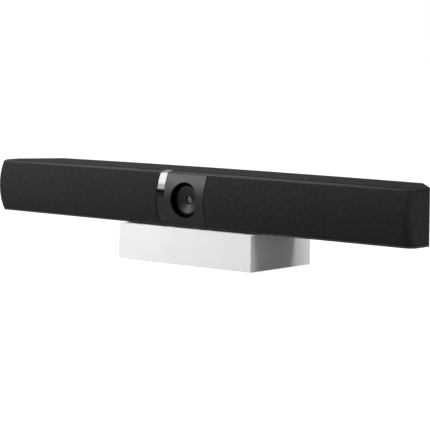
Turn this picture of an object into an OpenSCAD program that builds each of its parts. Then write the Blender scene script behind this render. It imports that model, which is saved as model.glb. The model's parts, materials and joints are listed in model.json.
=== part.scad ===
// Conference camera: a long bar with speakers, microphones and a tilting lens, on a low table stand.
// Millimetres, +Z up, +X along the bar, front towards -Y.
// The origin is the centre of the stand's footprint on the table.

/* [Bar] */
// Length of the bar, end to end
bar_length = 650; // [600:1:760]
// Height of the bar at its middle
bar_height = 66; // [65:0.5:76]
// Depth from the lower front edge to the rear wall
bar_depth = 74; // [72:0.5:90]
// How far the front bows out ahead of its lower edge
face_bulge = 7.8; // [5:0.1:10]
// Drop of the top surface from the middle to the ends
top_crown = 1.5; // [0.5:0.1:3]
// Radius of the two front corners seen from above
corner_radius = 9; // [7:0.5:14]
// Depth of the flat part of each end face
end_face_depth = 32; // [26:0.5:40]
// Length of the slanted part at each rear corner
end_taper_length = 39; // [30:0.5:50]
// Thickness of the rear wall
wall = 2.5; // [2:0.1:3.5]
// Thickness of the bar's floor
floor_thickness = 2.2; // [1.8:0.1:3]
// Thickness of the top cover
cover_thickness = 3; // [2.6:0.1:4]
// Depth of the bevel band along the front of the top
band_run = 10; // [7:0.5:14]
// Height of the bevel band
band_rise = 2; // [1.2:0.1:2.4]
// Width of the fine groove behind the band
groove_width = 0.6; // [0.4:0.1:1]

/* [Grilles] */
// Thickness of the knitted fabric
fabric_thickness = 0.9; // [0.6:0.1:1.4]
// Thickness of the perforated carrier
carrier_thickness = 2.2; // [1.6:0.1:3]
// Width of one sound slot
slot_width = 8; // [5:0.5:10]
// Distance from one sound slot to the next
slot_pitch = 14; // [12:0.5:18]
// Solid margin of the carrier above and below the slots
slot_margin = 10; // [7:0.5:14]

/* [Camera section] */
// Left edge of the gloss strip, measured from the middle of the bar
strip_left = 43; // [40:0.5:50]
// Width of the gloss strip
strip_width = 12; // [8:0.5:14]
// Right edge of the camera section, measured from the middle
section_right = 31; // [29:0.5:40]
// Thickness of the camera section's panel
fascia_thickness = 2.4; // [2:0.1:3.2]
// Thickness of the gloss strip
strip_thickness = 1.1; // [0.8:0.1:1.4]
// Width of the dark seam on each side of the camera section
seam_width = 0.7; // [0.4:0.1:1]
// Height of the panel left above and below the round recess
recess_margin = 11; // [9:0.1:12]
// Height of the lens axis above the middle of the front face
camera_lift = 0.5; // [0:0.1:1]

/* [Lens pod] */
// Width of the stepped ring and gap between the recess and the pod's rim
rim_step = 4.3; // [3.8:0.1:5.5]
// How far the rim stands ahead of the tilt axis
rim_ahead = 5.5; // [4:0.1:6]
// Depth of the tilt axis behind the lower front edge
pod_depth = 4.5; // [4.2:0.1:6]
// Depth of the funnel
funnel_depth = 4.2; // [3:0.1:5]
// Radius of the front glass
lens_radius = 4.25; // [3.5:0.05:5]
// Wall of the pod
pod_wall = 1.6; // [1.2:0.1:2]
// Radius of the pod's tilt pins
pin_radius = 1.5; // [1.2:0.1:1.8]

/* [Speakers] */
// Distance of the outer screw posts from the ends of the bar
post_end_margin = 55; // [50:1:75]
// Gap between a speaker basket and the floor or the top cover
basket_margin = 1.9; // [1.9:0.1:4]
// Width of the basket's rim and the surround round the moving cone
cone_edge = 6.7; // [6.7:0.1:9]
// How much smaller the magnet's radius is than the basket's
magnet_step = 8.5; // [6.5:0.1:10.5]
// Travel of the cone each way
cone_travel = 1.2; // [0.5:0.1:1.5]

/* [Electronics] */
// Length of the main board
board_length = 230; // [220:1:240]
// Height of the main board above the floor
board_height = 6; // [5:0.1:8]
// Thickness of the main board
board_thickness = 1.6; // [1.2:0.1:2]
// Width of the connector panel
panel_width = 104; // [100:1:110]
// Height of the connector panel
panel_height = 18; // [17.5:0.1:20]
// Travel of the reset button
reset_travel = 0.5; // [0.3:0.1:0.5]

/* [Stand] */
// Width of the stand
stand_width = 210; // [190:1:240]
// Depth of the stand
stand_depth = 110; // [104:1:140]
// Height of the stand
stand_height = 43.5; // [36:0.5:60]
// Wall of the stand
stand_wall = 2.5; // [2:0.1:4]
// Top plate of the stand
stand_top = 3; // [2.5:0.1:4]
// Distance of the bar's lower front edge behind the stand's front
bar_setback = 8; // [8:0.5:14]
// Thickness of the rubber pads between bar and stand
pad_thickness = 1.5; // [1:0.1:2.5]
// Thickness of the rubber feet
foot_thickness = 1.2; // [1:0.1:3]

/* [Fasteners] */
// Thread core radius of the stand's screws and their inserts
stand_thread_radius = 2.1; // [1.7:0.05:2.5]
// Thread core radius of the rear wall inserts
rear_thread_radius = 1.65; // [1.25:0.05:2.1]
// Distance between the rear inserts along the bar
rear_insert_span = 200; // [196:1:214]
// Distance between the rear inserts up the wall
rear_insert_rise = 30; // [24:0.5:34]
// Distance between the two screws that hold the bar on its stand
stand_screw_span = 120; // [110:1:140]

/* [Hidden] */

// Fits and small common sizes
overrun = 1;
fit = 0.1;
loose_fit = 0.2;
running_fit = 0.05;
round_detail = 96;
arch_steps = 24;

// The bar's own frame: its origin is on the lower front edge, at the underside
bar_front_y = bar_setback - stand_depth / 2;
bar_base_z = stand_height + pad_thickness;
half = bar_length / 2;

// The bowed front is part of a cylinder along the bar
face_top = bar_height - band_rise;
face_middle = face_top / 2;
face_radius = (face_middle * face_middle + face_bulge * face_bulge) / (2 * face_bulge);
face_axis_y = face_radius - face_bulge;
cover_underside = bar_height - cover_thickness;
band_angle = atan(band_rise / band_run);

// The slanted rear corners
taper_rise = bar_depth - end_face_depth;
taper_slope = norm([end_taper_length, taper_rise]);

// The room between the floor and the top cover
inner_height = cover_underside - floor_thickness;

// Layers of the grilles
carrier_inset = fabric_thickness + fit;
grille_inset = carrier_inset + carrier_thickness;
flange_thickness = 1.5;
grille_end_y = end_face_depth - loose_fit;

// The baffle behind the grilles
baffle_y = 8;
baffle_thickness = 3;
baffle_rear_y = baffle_y + baffle_thickness;
baffle_end_gap = 14;
baffle_half = half - baffle_end_gap;

// The camera section
camera_z = face_middle + camera_lift;
recess_radius = face_middle - recess_margin;
rim_radius = recess_radius - rim_step;
window_margin = 5;
camera_window = recess_radius + window_margin;
tube_wall = 2;
tube_rear_y = -1.6;
ring_front_y = -4.2;
ring_step_shares = [0.2, 0.5, 0.8];
ring_flange_width = 0.8;
ring_flange_radius = recess_radius + tube_wall + ring_flange_width;
ring_rear_y = 0.3;
pod_radius = norm([rim_radius, rim_ahead]);
pod_clearance = 0.5;
pod_back = 8;
funnel_wall = 1.4;
funnel_rim_margin = 0.8;
barrel_wall = 1.1;
barrel_radius = lens_radius + barrel_wall;
barrel_end = 15;
sleeve_wall = 1.3;
sleeve_radius = barrel_radius + fit + sleeve_wall;
flange_radius = 9;
barrel_flange = 2.5;
glass_dome = 1;
glass_thickness = 2;
sensor_side = 22;
sensor_thickness = 1.2;
chip_bore_share = 1.3;
chip_thickness = 1;

// Tilt bearing
ear_gap = 3;
ear_inner = pod_radius + ear_gap;
ear_thickness = 2;
ear_outer = ear_inner + ear_thickness;
ear_radius = 3.5;
washer_thickness = 1;
washer_radius = 3.2;
pin_tip = 0.6;
bracket_plate_y = 28;
bracket_plate_thickness = 2;
bracket_margin = 6;
bracket_half_height = recess_radius - bracket_margin;
bracket_flange = 15;
bracket_flange_thickness = 1.5;
camera_screw_radius = 1.25;

// Speakers, each midway between an inner and an outer screw post
post_inner_x = 140;
post_outer_x = half - post_end_margin;
speaker_x = (post_inner_x + post_outer_x) / 2;
speaker_z = (floor_thickness + cover_underside) / 2;
basket_radius = inner_height / 2 - basket_margin;
cone_radius = basket_radius - cone_edge;
magnet_radius = basket_radius - magnet_step;
gasket_thickness = 0.8;
basket_flange_thickness = 2;
basket_flange_y = baffle_rear_y + gasket_thickness;
basket_lap = 2.5;
baffle_hole_radius = basket_radius - basket_lap;
cone_margin = 2.2;
basket_opening = cone_radius + cone_margin;
basket_window_radius = 5;
basket_window_count = 4;
basket_rear_radius = 12;
basket_depth = 18;
basket_wall = 1.5;
magnet_depth = 11;
magnet_back = 3;
coil_gap_radius = 10.4;
pole_radius = 8.5;
former_radius = 9.1;
former_wall = 0.6;
coil_thickness = 0.35;
coil_length = 6;
cone_wall = 0.8;
cone_depth = 9;
cone_setback = 0.6;
cone_front_y = baffle_rear_y + cone_setback;
former_length = 13;
dome_rise = 3;
surround_gap = 0.3;
surround_roll = 1.5;
surround_skin = 0.5;
speaker_screw_radius = 1.5;
speaker_screw_count = 4;
screw_head_ratio_share = 1.9;
screw_head_height_share = 1.2;

// Microphones
microphone_count = 3;
microphone_pitch = 28;
microphone_first_x = 60;
microphone_board_margin = 8;
microphone_board_low = 6;
microphone_board_height = 8;
microphone_board_thickness = 1.2;
capsule_radius = 2.6;
capsule_thickness = 1.5;
boot_radius = 3.6;
boot_hole = 1.2;
boot_length = 2.6;

// Main board and what it carries
board_z = floor_thickness + board_height;
board_top = board_z + board_thickness;
board_gap = 1.5;
board_rear_gap = 3.5;
board_front_y = bracket_plate_y + bracket_plate_thickness + board_gap;
board_rear_y = bar_depth - wall - board_rear_gap;
board_depth = board_rear_y - board_front_y;
board_half = board_length / 2;
standoff_radius = 3;
standoff_margin = 6;
board_screw_radius = 1.1;
processor_x = 66;
processor_side = 30;
shield_height = 2.5;
shield_margin = 1;
// Chips stand in two columns at the board's left end, placed and sized as shares of its depth
chip_margin = 12;
chip_place_shares = [[0, 0.1], [0.45, 0.1], [0.45, 0.6]];
chip_side_shares = [0.38, 0.33, 0.22];
chip_height = 1.4;
capacitor_radius = 4;
capacitor_height = 11;
capacitor_pitch = 10;
capacitor_count = 3;
capacitor_x = 24;
thermal_thickness = 0.6;
sink_width = 52;
sink_margin = 6.5;
sink_depth = board_depth - sink_margin;
sink_base = 3;
sink_height = 34;
fin_count = 9;
fin_thickness = 1.4;
sink_gap = 0.5;
processor_y = board_front_y + sink_depth / 2 + sink_gap;

// Connector panel and sockets
panel_x = -22;
panel_drop = 1.5;
panel_z = board_top - panel_drop;
panel_plate = 1.5;
panel_recess = 1;
panel_flange = 2.5;
panel_face_y = bar_depth - panel_recess;
panel_flange_y = bar_depth - wall - panel_plate;
network_shift = -36;
display_shift = -12;
usb_shift = 7;
power_shift = 25;
reset_shift = 42;
reset_rise = 6;
network_x = panel_x + network_shift;
network_size = [16, 21, 13.5];
network_cavity = [11.8, 14, 8.4];
network_latch = [6, 3];
display_x = panel_x + display_shift;
display_size = [15, 12, 6];
display_cavity = [13.6, 9, 4.6];
usb_x = panel_x + usb_shift;
usb_size = [9.2, 9, 3.6];
usb_cavity = [8.4, 7, 2.6];
tongue_thickness = 0.8;
tongue_margin = 1.2;
power_x = panel_x + power_shift;
power_size = [9.5, 14, 11];
power_bore_radius = 3.1;
power_pin_radius = 0.95;
power_bore_depth = 10;
reset_x = panel_x + reset_shift;
reset_z = board_top + reset_rise;
reset_radius = 1.5;
reset_flange_radius = 2.5;
reset_flange_thickness = 1.6;
reset_recess = 0.5;
reset_tail = 2;
switch_side = 6;
switch_depth = 4;
switch_nub_radius = 1.1;
switch_nub = 0.6;

// Posts, partitions and antennas
post_radius = 3.5;
post_bore = 1.3;
post_bore_depth = 8;
post_gap = 2.5;
post_rear_gap = 12;
post_front_y = baffle_rear_y + post_radius + post_gap;
post_rear_y = bar_depth - post_rear_gap;
partition_x = 127;
partition_thickness = 2;
antenna_height = 14;
antenna_thickness = 0.8;
antenna_low_y = 34;
antenna_margin = 10;
antenna_length = bar_depth - antenna_margin - antenna_low_y;
vent_count = 11;
vent_width = 2.2;
vent_pitch = 4.4;
vent_low = 26;
vent_height = 24;
housing_head_radius = 2.8;
housing_head_height = 1.5;
housing_screw_length = 9;

// Inserts
insert_wall = 2;
insert_length = 8;
boss_wall = 2;
stand_screw_y = 18;

// Stand
stand_rim_gap = 0.6;
base_thickness = 2.5;
base_gap = 0.3;
foot_radius = 9;
foot_margin = 16;
stand_post_radius = 4.5;
stand_post_margin = 12;
stand_boss_radius = 6;
stand_boss_height = 4;
stand_head_radius = 4.4;
stand_head_height = 4;
pad_radius = 7;
pad_x = 82;
pad_front_y = 9;
pad_rear_margin = 12;
pad_rear_y = bar_depth - pad_rear_margin;

function side_sign(side) = side == "left" ? -1 : 1;
function arch(x) = -top_crown * (x / half) * (x / half);
function taper_front(inset) = end_face_depth + inset * (taper_rise - taper_slope) / end_taper_length;
function taper_back(inset) =
    half - (end_taper_length * (taper_rise - inset) + inset * taper_slope) / taper_rise;
function plan_points(inset) = [
    [-(half - inset), -bar_depth],
    [half - inset, -bar_depth],
    [half - inset, taper_front(inset)],
    [taper_back(inset), bar_depth - inset],
    [-taper_back(inset), bar_depth - inset],
    [-(half - inset), taper_front(inset)]
];
function arch_points(z, scale) = [
    for (k = [0 : arch_steps])
        let (x = (half + overrun) * (2 * k / arch_steps - 1))
        [x, (z + arch(x)) * scale]
];

// Places children in the bar's own frame
module in_bar() {
    translate([0, bar_front_y, bar_base_z])
        children();
}

// Turns a shape built along Z so that it points along +Y from the given point
module along_y(x, y, z) {
    translate([x, y, z])
        rotate([-90, 0, 0])
            children();
}

// Turns a shape built along Z so that it points along +X from the given point
module along_x(x, y, z) {
    translate([x, y, z])
        rotate([0, 90, 0])
            children();
}

module ring(outer, inner, height) {
    difference() {
        cylinder(h = height, r = outer, $fn = round_detail);
        translate([0, 0, -overrun])
            cylinder(h = height + 2 * overrun, r = inner, $fn = round_detail);
    }
}

// A round-headed screw: the head starts at zero and the shank points along +Z
module screw(radius, length, head_radius, head_height) {
    translate([0, 0, -head_height])
        cylinder(h = head_height, r = head_radius, $fn = round_detail);
    cylinder(h = length, r = radius, $fn = round_detail);
}

// A slab with the bar's outline seen from above
module slab(low, high, inset) {
    translate([0, 0, low])
        linear_extrude(height = high - low)
            polygon(plan_points(inset));
}

// The bowed front with its rounded ends, turned about the cylinder's axis
module barrel(inset) {
    radius = face_radius - inset;
    reach = half - inset;
    corner = corner_radius - inset;
    along_x(0, face_axis_y, face_middle)
        rotate_extrude($fn = 2 * round_detail)
            union() {
                translate([0, -reach])
                    square([radius - corner, 2 * reach]);
                translate([0, corner - reach])
                    square([radius, 2 * (reach - corner)]);
                for (s = [-1, 1])
                    translate([radius - corner, s * (reach - corner)])
                        circle(r = corner, $fn = round_detail);
            }
}

// The bar's outer form, drawn in evenly, between two heights
module form(inset, low, high) {
    intersection() {
        slab(low, high, inset);
        barrel(inset);
    }
}

// Everything below the crowned surface whose middle is at this height
module under_crown(z) {
    translate([0, 2 * bar_depth, 0])
        rotate([90, 0, 0])
            linear_extrude(height = 4 * bar_depth)
                polygon(concat(
                    [[half + overrun, -bar_height], [-half - overrun, -bar_height]],
                    arch_points(z, 1)
                ));
}

// Everything below the bevel band, raised by the given amount
module under_band(raise) {
    rotate([band_angle, 0, 0])
        translate([0, 2 * bar_depth, raise])
            rotate([90, 0, 0])
                linear_extrude(height = 4 * bar_depth)
                    polygon(concat(
                        [[half + overrun, -2 * bar_height], [-half - overrun, -2 * bar_height]],
                        arch_points(face_top, cos(band_angle))
                    ));
}

// A box that keeps what lies between two places along the bar and ahead of a depth
module window(left, right, rear) {
    translate([left, -bar_depth, -bar_height])
        cube([right - left, rear + bar_depth, 3 * bar_height]);
}

module strip_pocket(left, right, deep) {
    intersection() {
        difference() {
            under_band(overrun);
            under_band(-deep);
        }
        window(left, right, band_run + fit);
    }
}

module screw_posts(radius) {
    for (sx = [-1, 1], x = [post_inner_x, post_outer_x], y = [post_front_y, post_rear_y])
        translate([sx * x, y, 0])
            children();
}

// Housing
module bottom_tray() {
    color("#1c1c1e") in_bar()
        difference() {
            union() {
                form(0, 0, floor_thickness);
                for (s = [-1, 1])
                    translate([s * stand_screw_span / 2, stand_screw_y, 0])
                        cylinder(h = insert_length, r = stand_thread_radius + insert_wall + boss_wall,
                            $fn = round_detail);
                for (sx = [-1, 1], y = [board_front_y + standoff_margin, board_rear_y - standoff_margin])
                    translate([sx * (board_half - standoff_margin), y, 0])
                        cylinder(h = board_z, r = standoff_radius, $fn = round_detail);
            }
            for (s = [-1, 1])
                translate([s * stand_screw_span / 2, stand_screw_y, -overrun])
                    cylinder(h = insert_length + 2 * overrun, r = stand_thread_radius + insert_wall,
                        $fn = round_detail);
            for (sx = [-1, 1], y = [board_front_y + standoff_margin, board_rear_y - standoff_margin])
                translate([sx * (board_half - standoff_margin), y, floor_thickness])
                    cylinder(h = board_z, r = board_screw_radius + running_fit, $fn = round_detail);
            screw_posts() {
                translate([0, 0, -overrun])
                    cylinder(h = floor_thickness + 2 * overrun, r = post_bore + loose_fit, $fn = round_detail);
                translate([0, 0, -overrun])
                    cylinder(h = overrun + housing_head_height, r = housing_head_radius + loose_fit,
                        $fn = round_detail);
            }
        }
}

module rear_cover() {
    color("#1c1c1e") in_bar()
        difference() {
            union() {
                intersection() {
                    difference() {
                        slab(floor_thickness, bar_height, 0);
                        slab(0, bar_height + overrun, wall);
                    }
                    under_crown(cover_underside);
                    translate([-bar_length, end_face_depth, 0])
                        cube([2 * bar_length, bar_depth, bar_height]);
                }
                for (s = [-1, 1], z = [-1, 1])
                    along_y(s * rear_insert_span / 2, bar_depth - insert_length,
                        speaker_z + z * rear_insert_rise / 2)
                        cylinder(h = insert_length, r = rear_thread_radius + insert_wall + boss_wall,
                            $fn = round_detail);
            }
            for (s = [-1, 1], z = [-1, 1])
                along_y(s * rear_insert_span / 2, bar_depth - insert_length - overrun,
                    speaker_z + z * rear_insert_rise / 2)
                    cylinder(h = insert_length + 2 * overrun, r = rear_thread_radius + insert_wall,
                        $fn = round_detail);
            translate([panel_x - panel_width / 2, bar_depth - wall - overrun, panel_z])
                cube([panel_width, wall + 2 * overrun, panel_height]);
            for (k = [0 : vent_count - 1])
                translate([processor_x + (k - (vent_count - 1) / 2) * vent_pitch - vent_width / 2,
                    bar_depth - wall - overrun, vent_low])
                    cube([vent_width, wall + 2 * overrun, vent_height]);
        }
}

module top_cover() {
    color("#2e2e31") in_bar() {
        difference() {
            intersection() {
                form(0, 0, 2 * bar_height);
                under_crown(bar_height);
                under_band(0);
            }
            under_crown(cover_underside);
            strip_pocket(-strip_left - fit, -strip_left + strip_width + fit, strip_thickness + fit);
            difference() {
                translate([-bar_length, band_run + fit, 0])
                    cube([2 * bar_length, groove_width, 2 * bar_height]);
                under_crown(bar_height - groove_width);
            }
        }
        difference() {
            intersection() {
                screw_posts()
                    translate([0, 0, floor_thickness])
                        cylinder(h = bar_height, r = post_radius, $fn = round_detail);
                under_crown(cover_underside);
            }
            screw_posts()
                translate([0, 0, 0])
                    cylinder(h = floor_thickness + post_bore_depth, r = post_bore, $fn = round_detail);
        }
    }
}

module front_baffle() {
    color("#242426") in_bar()
        intersection() {
            difference() {
                translate([-baffle_half, baffle_y, floor_thickness])
                    cube([2 * baffle_half, baffle_thickness, bar_height]);
                translate([-camera_window, baffle_y - overrun, camera_z - camera_window + loose_fit])
                    cube([2 * camera_window, baffle_thickness + 2 * overrun, 2 * (camera_window - loose_fit)]);
                for (s = [-1, 1])
                    along_y(s * speaker_x, baffle_y - overrun, speaker_z)
                        cylinder(h = baffle_thickness + 2 * overrun, r = baffle_hole_radius,
                            $fn = round_detail);
                bracket_screw_places(baffle_y + fit)
                    cylinder(h = baffle_thickness + overrun, r = camera_screw_radius + running_fit,
                        $fn = round_detail);
                speaker_screw_places(baffle_y + fit)
                    cylinder(h = baffle_thickness + overrun, r = speaker_screw_radius + running_fit,
                        $fn = round_detail);
            }
            under_crown(cover_underside - loose_fit);
        }
}

module speaker_partitions() {
    color("#242426") in_bar()
        intersection() {
            for (s = [-1, 1])
                translate([s * partition_x - partition_thickness / 2, baffle_rear_y, floor_thickness])
                    cube([partition_thickness, bar_depth - wall - baffle_rear_y - fit, bar_height]);
            under_crown(cover_underside - loose_fit);
        }
}

// Grilles
module grille_range(side) {
    if (side == "left")
        window(-bar_length, -strip_left - seam_width, grille_end_y);
    else
        window(section_right + seam_width, bar_length, grille_end_y);
}

module grille_frame(side) {
    low = floor_thickness + fit;
    high = cover_underside - fit;
    inner_end = side == "left" ? strip_left + seam_width : section_right + seam_width;
    slot_span = half - corner_radius - inner_end - slot_pitch;
    slot_total = floor(slot_span / slot_pitch);
    slot_start = inner_end + slot_pitch / 2 + slot_width / 2;
    color("#101010") in_bar()
        difference() {
            intersection() {
                union() {
                    difference() {
                        form(carrier_inset, low, bar_height);
                        form(grille_inset, low - overrun, bar_height + overrun);
                    }
                    intersection() {
                        form(carrier_inset, low, low + flange_thickness);
                        window(-bar_length, bar_length, baffle_y - loose_fit);
                    }
                    intersection() {
                        difference() {
                            form(carrier_inset, low, bar_height);
                            under_crown(high - flange_thickness);
                        }
                        window(-bar_length, bar_length, baffle_y - loose_fit);
                    }
                }
                grille_range(side);
                under_crown(high);
            }
            for (k = [0 : slot_total])
                translate([side_sign(side) * (slot_start + k * slot_pitch) - slot_width / 2,
                    -bar_depth, floor_thickness + slot_margin])
                    cube([slot_width, bar_depth + baffle_y / 2, cover_underside - floor_thickness - 2 * slot_margin]);
        }
}

module grille_fabric(side) {
    low = floor_thickness + fit;
    color("#3a3b3d") in_bar()
        intersection() {
            difference() {
                form(0, low, bar_height);
                form(fabric_thickness, low - overrun, bar_height + overrun);
            }
            grille_range(side);
            under_crown(cover_underside - fit);
        }
}

module left_grille_frame() { grille_frame("left"); }
module right_grille_frame() { grille_frame("right"); }
module left_grille_fabric() { grille_fabric("left"); }
module right_grille_fabric() { grille_fabric("right"); }

// Camera section
module camera_fascia() {
    low = floor_thickness + fit;
    color("#141416") in_bar()
        difference() {
            union() {
                intersection() {
                    difference() {
                        form(0, low, bar_height);
                        form(fascia_thickness, low - overrun, bar_height + overrun);
                    }
                    window(-strip_left, section_right, end_face_depth);
                    under_crown(cover_underside - fit);
                }
                intersection() {
                    along_y(0, -bar_depth, camera_z)
                        cylinder(h = bar_depth + tube_rear_y, r = recess_radius + tube_wall,
                            $fn = round_detail);
                    barrel(fascia_thickness / 2);
                }
            }
            difference() {
                window(-strip_left - overrun, -strip_left + strip_width + fit, end_face_depth);
                barrel(strip_thickness + fit);
            }
            along_y(0, -bar_depth, camera_z)
                cylinder(h = 2 * bar_depth, r = recess_radius, $fn = round_detail);
        }
}

module accent_strip() {
    low = floor_thickness + fit;
    color("#0a0a0b") in_bar() {
        intersection() {
            difference() {
                form(0, low, bar_height);
                form(strip_thickness, low - overrun, bar_height + overrun);
            }
            window(-strip_left, -strip_left + strip_width, end_face_depth);
            under_band(0);
        }
        intersection() {
            difference() {
                under_band(0);
                under_band(-strip_thickness);
            }
            form(0, 0, 2 * bar_height);
            window(-strip_left, -strip_left + strip_width, band_run);
        }
    }
}

module lens_ring() {
    bore = pod_radius + pod_clearance;
    outer = recess_radius - fit;
    depth = ring_rear_y - ring_front_y;
    step = outer - bore;
    color("#0c0c0d") in_bar()
        difference() {
            union() {
                along_y(0, ring_front_y, camera_z)
                    cylinder(h = depth, r = outer, $fn = round_detail);
                // The flange seats behind the panel and follows its curved inner face
                intersection() {
                    along_y(0, tube_rear_y + fit, camera_z)
                        cylinder(h = ring_rear_y - tube_rear_y - fit, r = ring_flange_radius,
                            $fn = round_detail);
                    barrel(fascia_thickness + loose_fit);
                }
            }
            along_y(0, ring_front_y - overrun, camera_z)
                cylinder(h = depth + 2 * overrun, r = bore, $fn = round_detail);
            for (s = ring_step_shares)
                along_y(0, ring_front_y - overrun, camera_z)
                    cylinder(h = overrun + depth * (1 - s) * ring_step_shares[2],
                        r = bore + step * s, $fn = round_detail);
        }
}

module bracket_screw_places(y) {
    for (sx = [-1, 1], sz = [-1, 1])
        along_y(sx * (camera_window + bracket_flange / 3), y, camera_z + sz * bracket_half_height * 2 / 3)
            children();
}

module camera_bracket() {
    color("#8f9396") in_bar()
        difference() {
            union() {
                for (s = [-1, 1]) {
                    along_x(s * (ear_inner + ear_thickness / 2) - ear_thickness / 2, pod_depth, camera_z)
                        cylinder(h = ear_thickness, r = ear_radius, $fn = round_detail);
                    translate([s * (ear_inner + ear_thickness / 2) - ear_thickness / 2, pod_depth,
                        camera_z - ear_radius])
                        cube([ear_thickness, baffle_rear_y - pod_depth + overrun, 2 * ear_radius]);
                    translate([s * (ear_inner + ear_thickness / 2) - ear_thickness / 2, baffle_rear_y,
                        camera_z - bracket_half_height])
                        cube([ear_thickness, bracket_plate_y - baffle_rear_y + overrun,
                            2 * bracket_half_height]);
                    translate([s > 0 ? ear_inner : -ear_inner - bracket_flange, baffle_rear_y,
                        camera_z - bracket_half_height])
                        cube([bracket_flange, bracket_flange_thickness, 2 * bracket_half_height]);
                }
                translate([-ear_outer, bracket_plate_y, camera_z - bracket_half_height])
                    cube([2 * ear_outer, bracket_plate_thickness, 2 * bracket_half_height]);
            }
            along_x(-2 * ear_outer, pod_depth, camera_z)
                cylinder(h = 4 * ear_outer, r = pin_radius + running_fit, $fn = round_detail);
            bracket_screw_places(baffle_rear_y - overrun)
                cylinder(h = 2 * overrun + bracket_flange_thickness, r = camera_screw_radius + running_fit,
                    $fn = round_detail);
        }
}

module tilt_washers() {
    color("#b9bcbf") in_bar()
        for (s = [-1, 1])
            along_x(s * (ear_inner - fit - washer_thickness / 2) - washer_thickness / 2, pod_depth, camera_z)
                ring(washer_radius, pin_radius + fit, washer_thickness);
}

module camera_screws() {
    color("#9a9da0") in_bar()
        bracket_screw_places(baffle_rear_y + bracket_flange_thickness)
            rotate([180, 0, 0])
                screw(camera_screw_radius, bracket_flange_thickness + baffle_thickness - loose_fit,
                    camera_screw_radius * screw_head_ratio_share,
                    camera_screw_radius * screw_head_height_share);
}

// Lens pod, built along its optical axis with the tilt axis at zero
module in_pod() {
    in_bar()
        along_y(0, pod_depth, camera_z)
            children();
}

module pod_shell() {
    shoulder = ear_inner - 2 * fit - washer_thickness;
    funnel_end = funnel_depth - rim_ahead;
    color("#17171a") in_pod()
        difference() {
            union() {
                difference() {
                    sphere(r = pod_radius, $fn = round_detail);
                    sphere(r = pod_radius - pod_wall, $fn = round_detail);
                    translate([-pod_radius, -pod_radius, -2 * pod_radius - rim_ahead])
                        cube([2 * pod_radius, 2 * pod_radius, 2 * pod_radius]);
                    translate([-pod_radius, -pod_radius, pod_back])
                        cube([2 * pod_radius, 2 * pod_radius, 2 * pod_radius]);
                }
                rotate_extrude($fn = round_detail)
                    polygon([
                        [rim_radius - funnel_rim_margin, -rim_ahead],
                        [lens_radius + barrel_wall, funnel_end],
                        [lens_radius + barrel_wall, funnel_end + funnel_wall],
                        [rim_radius - funnel_rim_margin, funnel_wall - rim_ahead]
                    ]);
                translate([0, 0, funnel_end + fit])
                    ring(sleeve_radius, barrel_radius + fit, pod_back - funnel_end - fit);
                for (s = [-1, 1])
                    rotate([0, s * 90, 0]) {
                        translate([0, 0, pod_radius - pod_wall / 2])
                            cylinder(h = shoulder - pod_radius + pod_wall / 2, r = washer_radius,
                                $fn = round_detail);
                        translate([0, 0, pod_radius - pod_wall / 2])
                            cylinder(h = ear_outer + pin_tip - pod_radius + pod_wall / 2, r = pin_radius,
                                $fn = round_detail);
                    }
            }
            translate([0, 0, -2 * rim_ahead])
                cylinder(h = 2 * rim_ahead + pod_back + overrun, r = barrel_radius + fit,
                    $fn = round_detail);
        }
}

module lens_barrel() {
    glass_seat = funnel_depth - rim_ahead;
    color("#0a0a0b") in_pod()
        difference() {
            union() {
                translate([0, 0, glass_seat])
                    cylinder(h = barrel_end - glass_seat, r = barrel_radius, $fn = round_detail);
                translate([0, 0, barrel_end - barrel_flange])
                    cylinder(h = barrel_flange, r = flange_radius, $fn = round_detail);
            }
            translate([0, 0, glass_seat - overrun])
                cylinder(h = glass_thickness + overrun, r = lens_radius + fit, $fn = round_detail);
            translate([0, 0, glass_seat])
                cylinder(h = barrel_end - glass_seat + overrun, r = lens_radius - barrel_wall / 2,
                    $fn = round_detail);
        }
}

// A plano-convex glass whose domed side faces forward
module glass(radius, dome, thickness) {
    curve = (radius * radius + dome * dome) / (2 * dome);
    intersection() {
        cylinder(h = thickness, r = radius, $fn = round_detail);
        translate([0, 0, curve])
            sphere(r = curve, $fn = 2 * round_detail);
    }
}

module front_lens() {
    color("#274a3c") in_pod()
        translate([0, 0, funnel_depth - rim_ahead])
            glass(lens_radius, glass_dome, glass_thickness);
}

module rear_lens() {
    rear_radius = lens_radius - barrel_wall / 2 - fit;
    color("#3a5a66") in_pod()
        translate([0, 0, barrel_end - barrel_flange - glass_thickness])
            glass(rear_radius, glass_dome, glass_thickness);
}

module sensor_board() {
    color("#1f5c38") in_pod()
        translate([-sensor_side / 2, -sensor_side / 2, barrel_end])
            cube([sensor_side, sensor_side, sensor_thickness]);
}

module sensor_chip() {
    side = chip_bore_share * (lens_radius - barrel_wall / 2);
    color("#30303a") in_pod()
        translate([-side / 2, -side / 2, barrel_end - chip_thickness])
            cube([side, side, chip_thickness]);
}

// Speakers, built along the cone's axis with zero at the basket's front face
module in_speaker(side) {
    in_bar()
        along_y(side_sign(side) * speaker_x, basket_flange_y, speaker_z)
            children();
}

module speaker_screw_places(y) {
    for (s = [-1, 1], k = [0 : speaker_screw_count - 1])
        along_y(s * speaker_x, y, speaker_z)
            rotate([0, 0, (k + 0.5) * 360 / speaker_screw_count])
                translate([basket_radius + speaker_screw_radius, 0, 0])
                    children();
}

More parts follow.
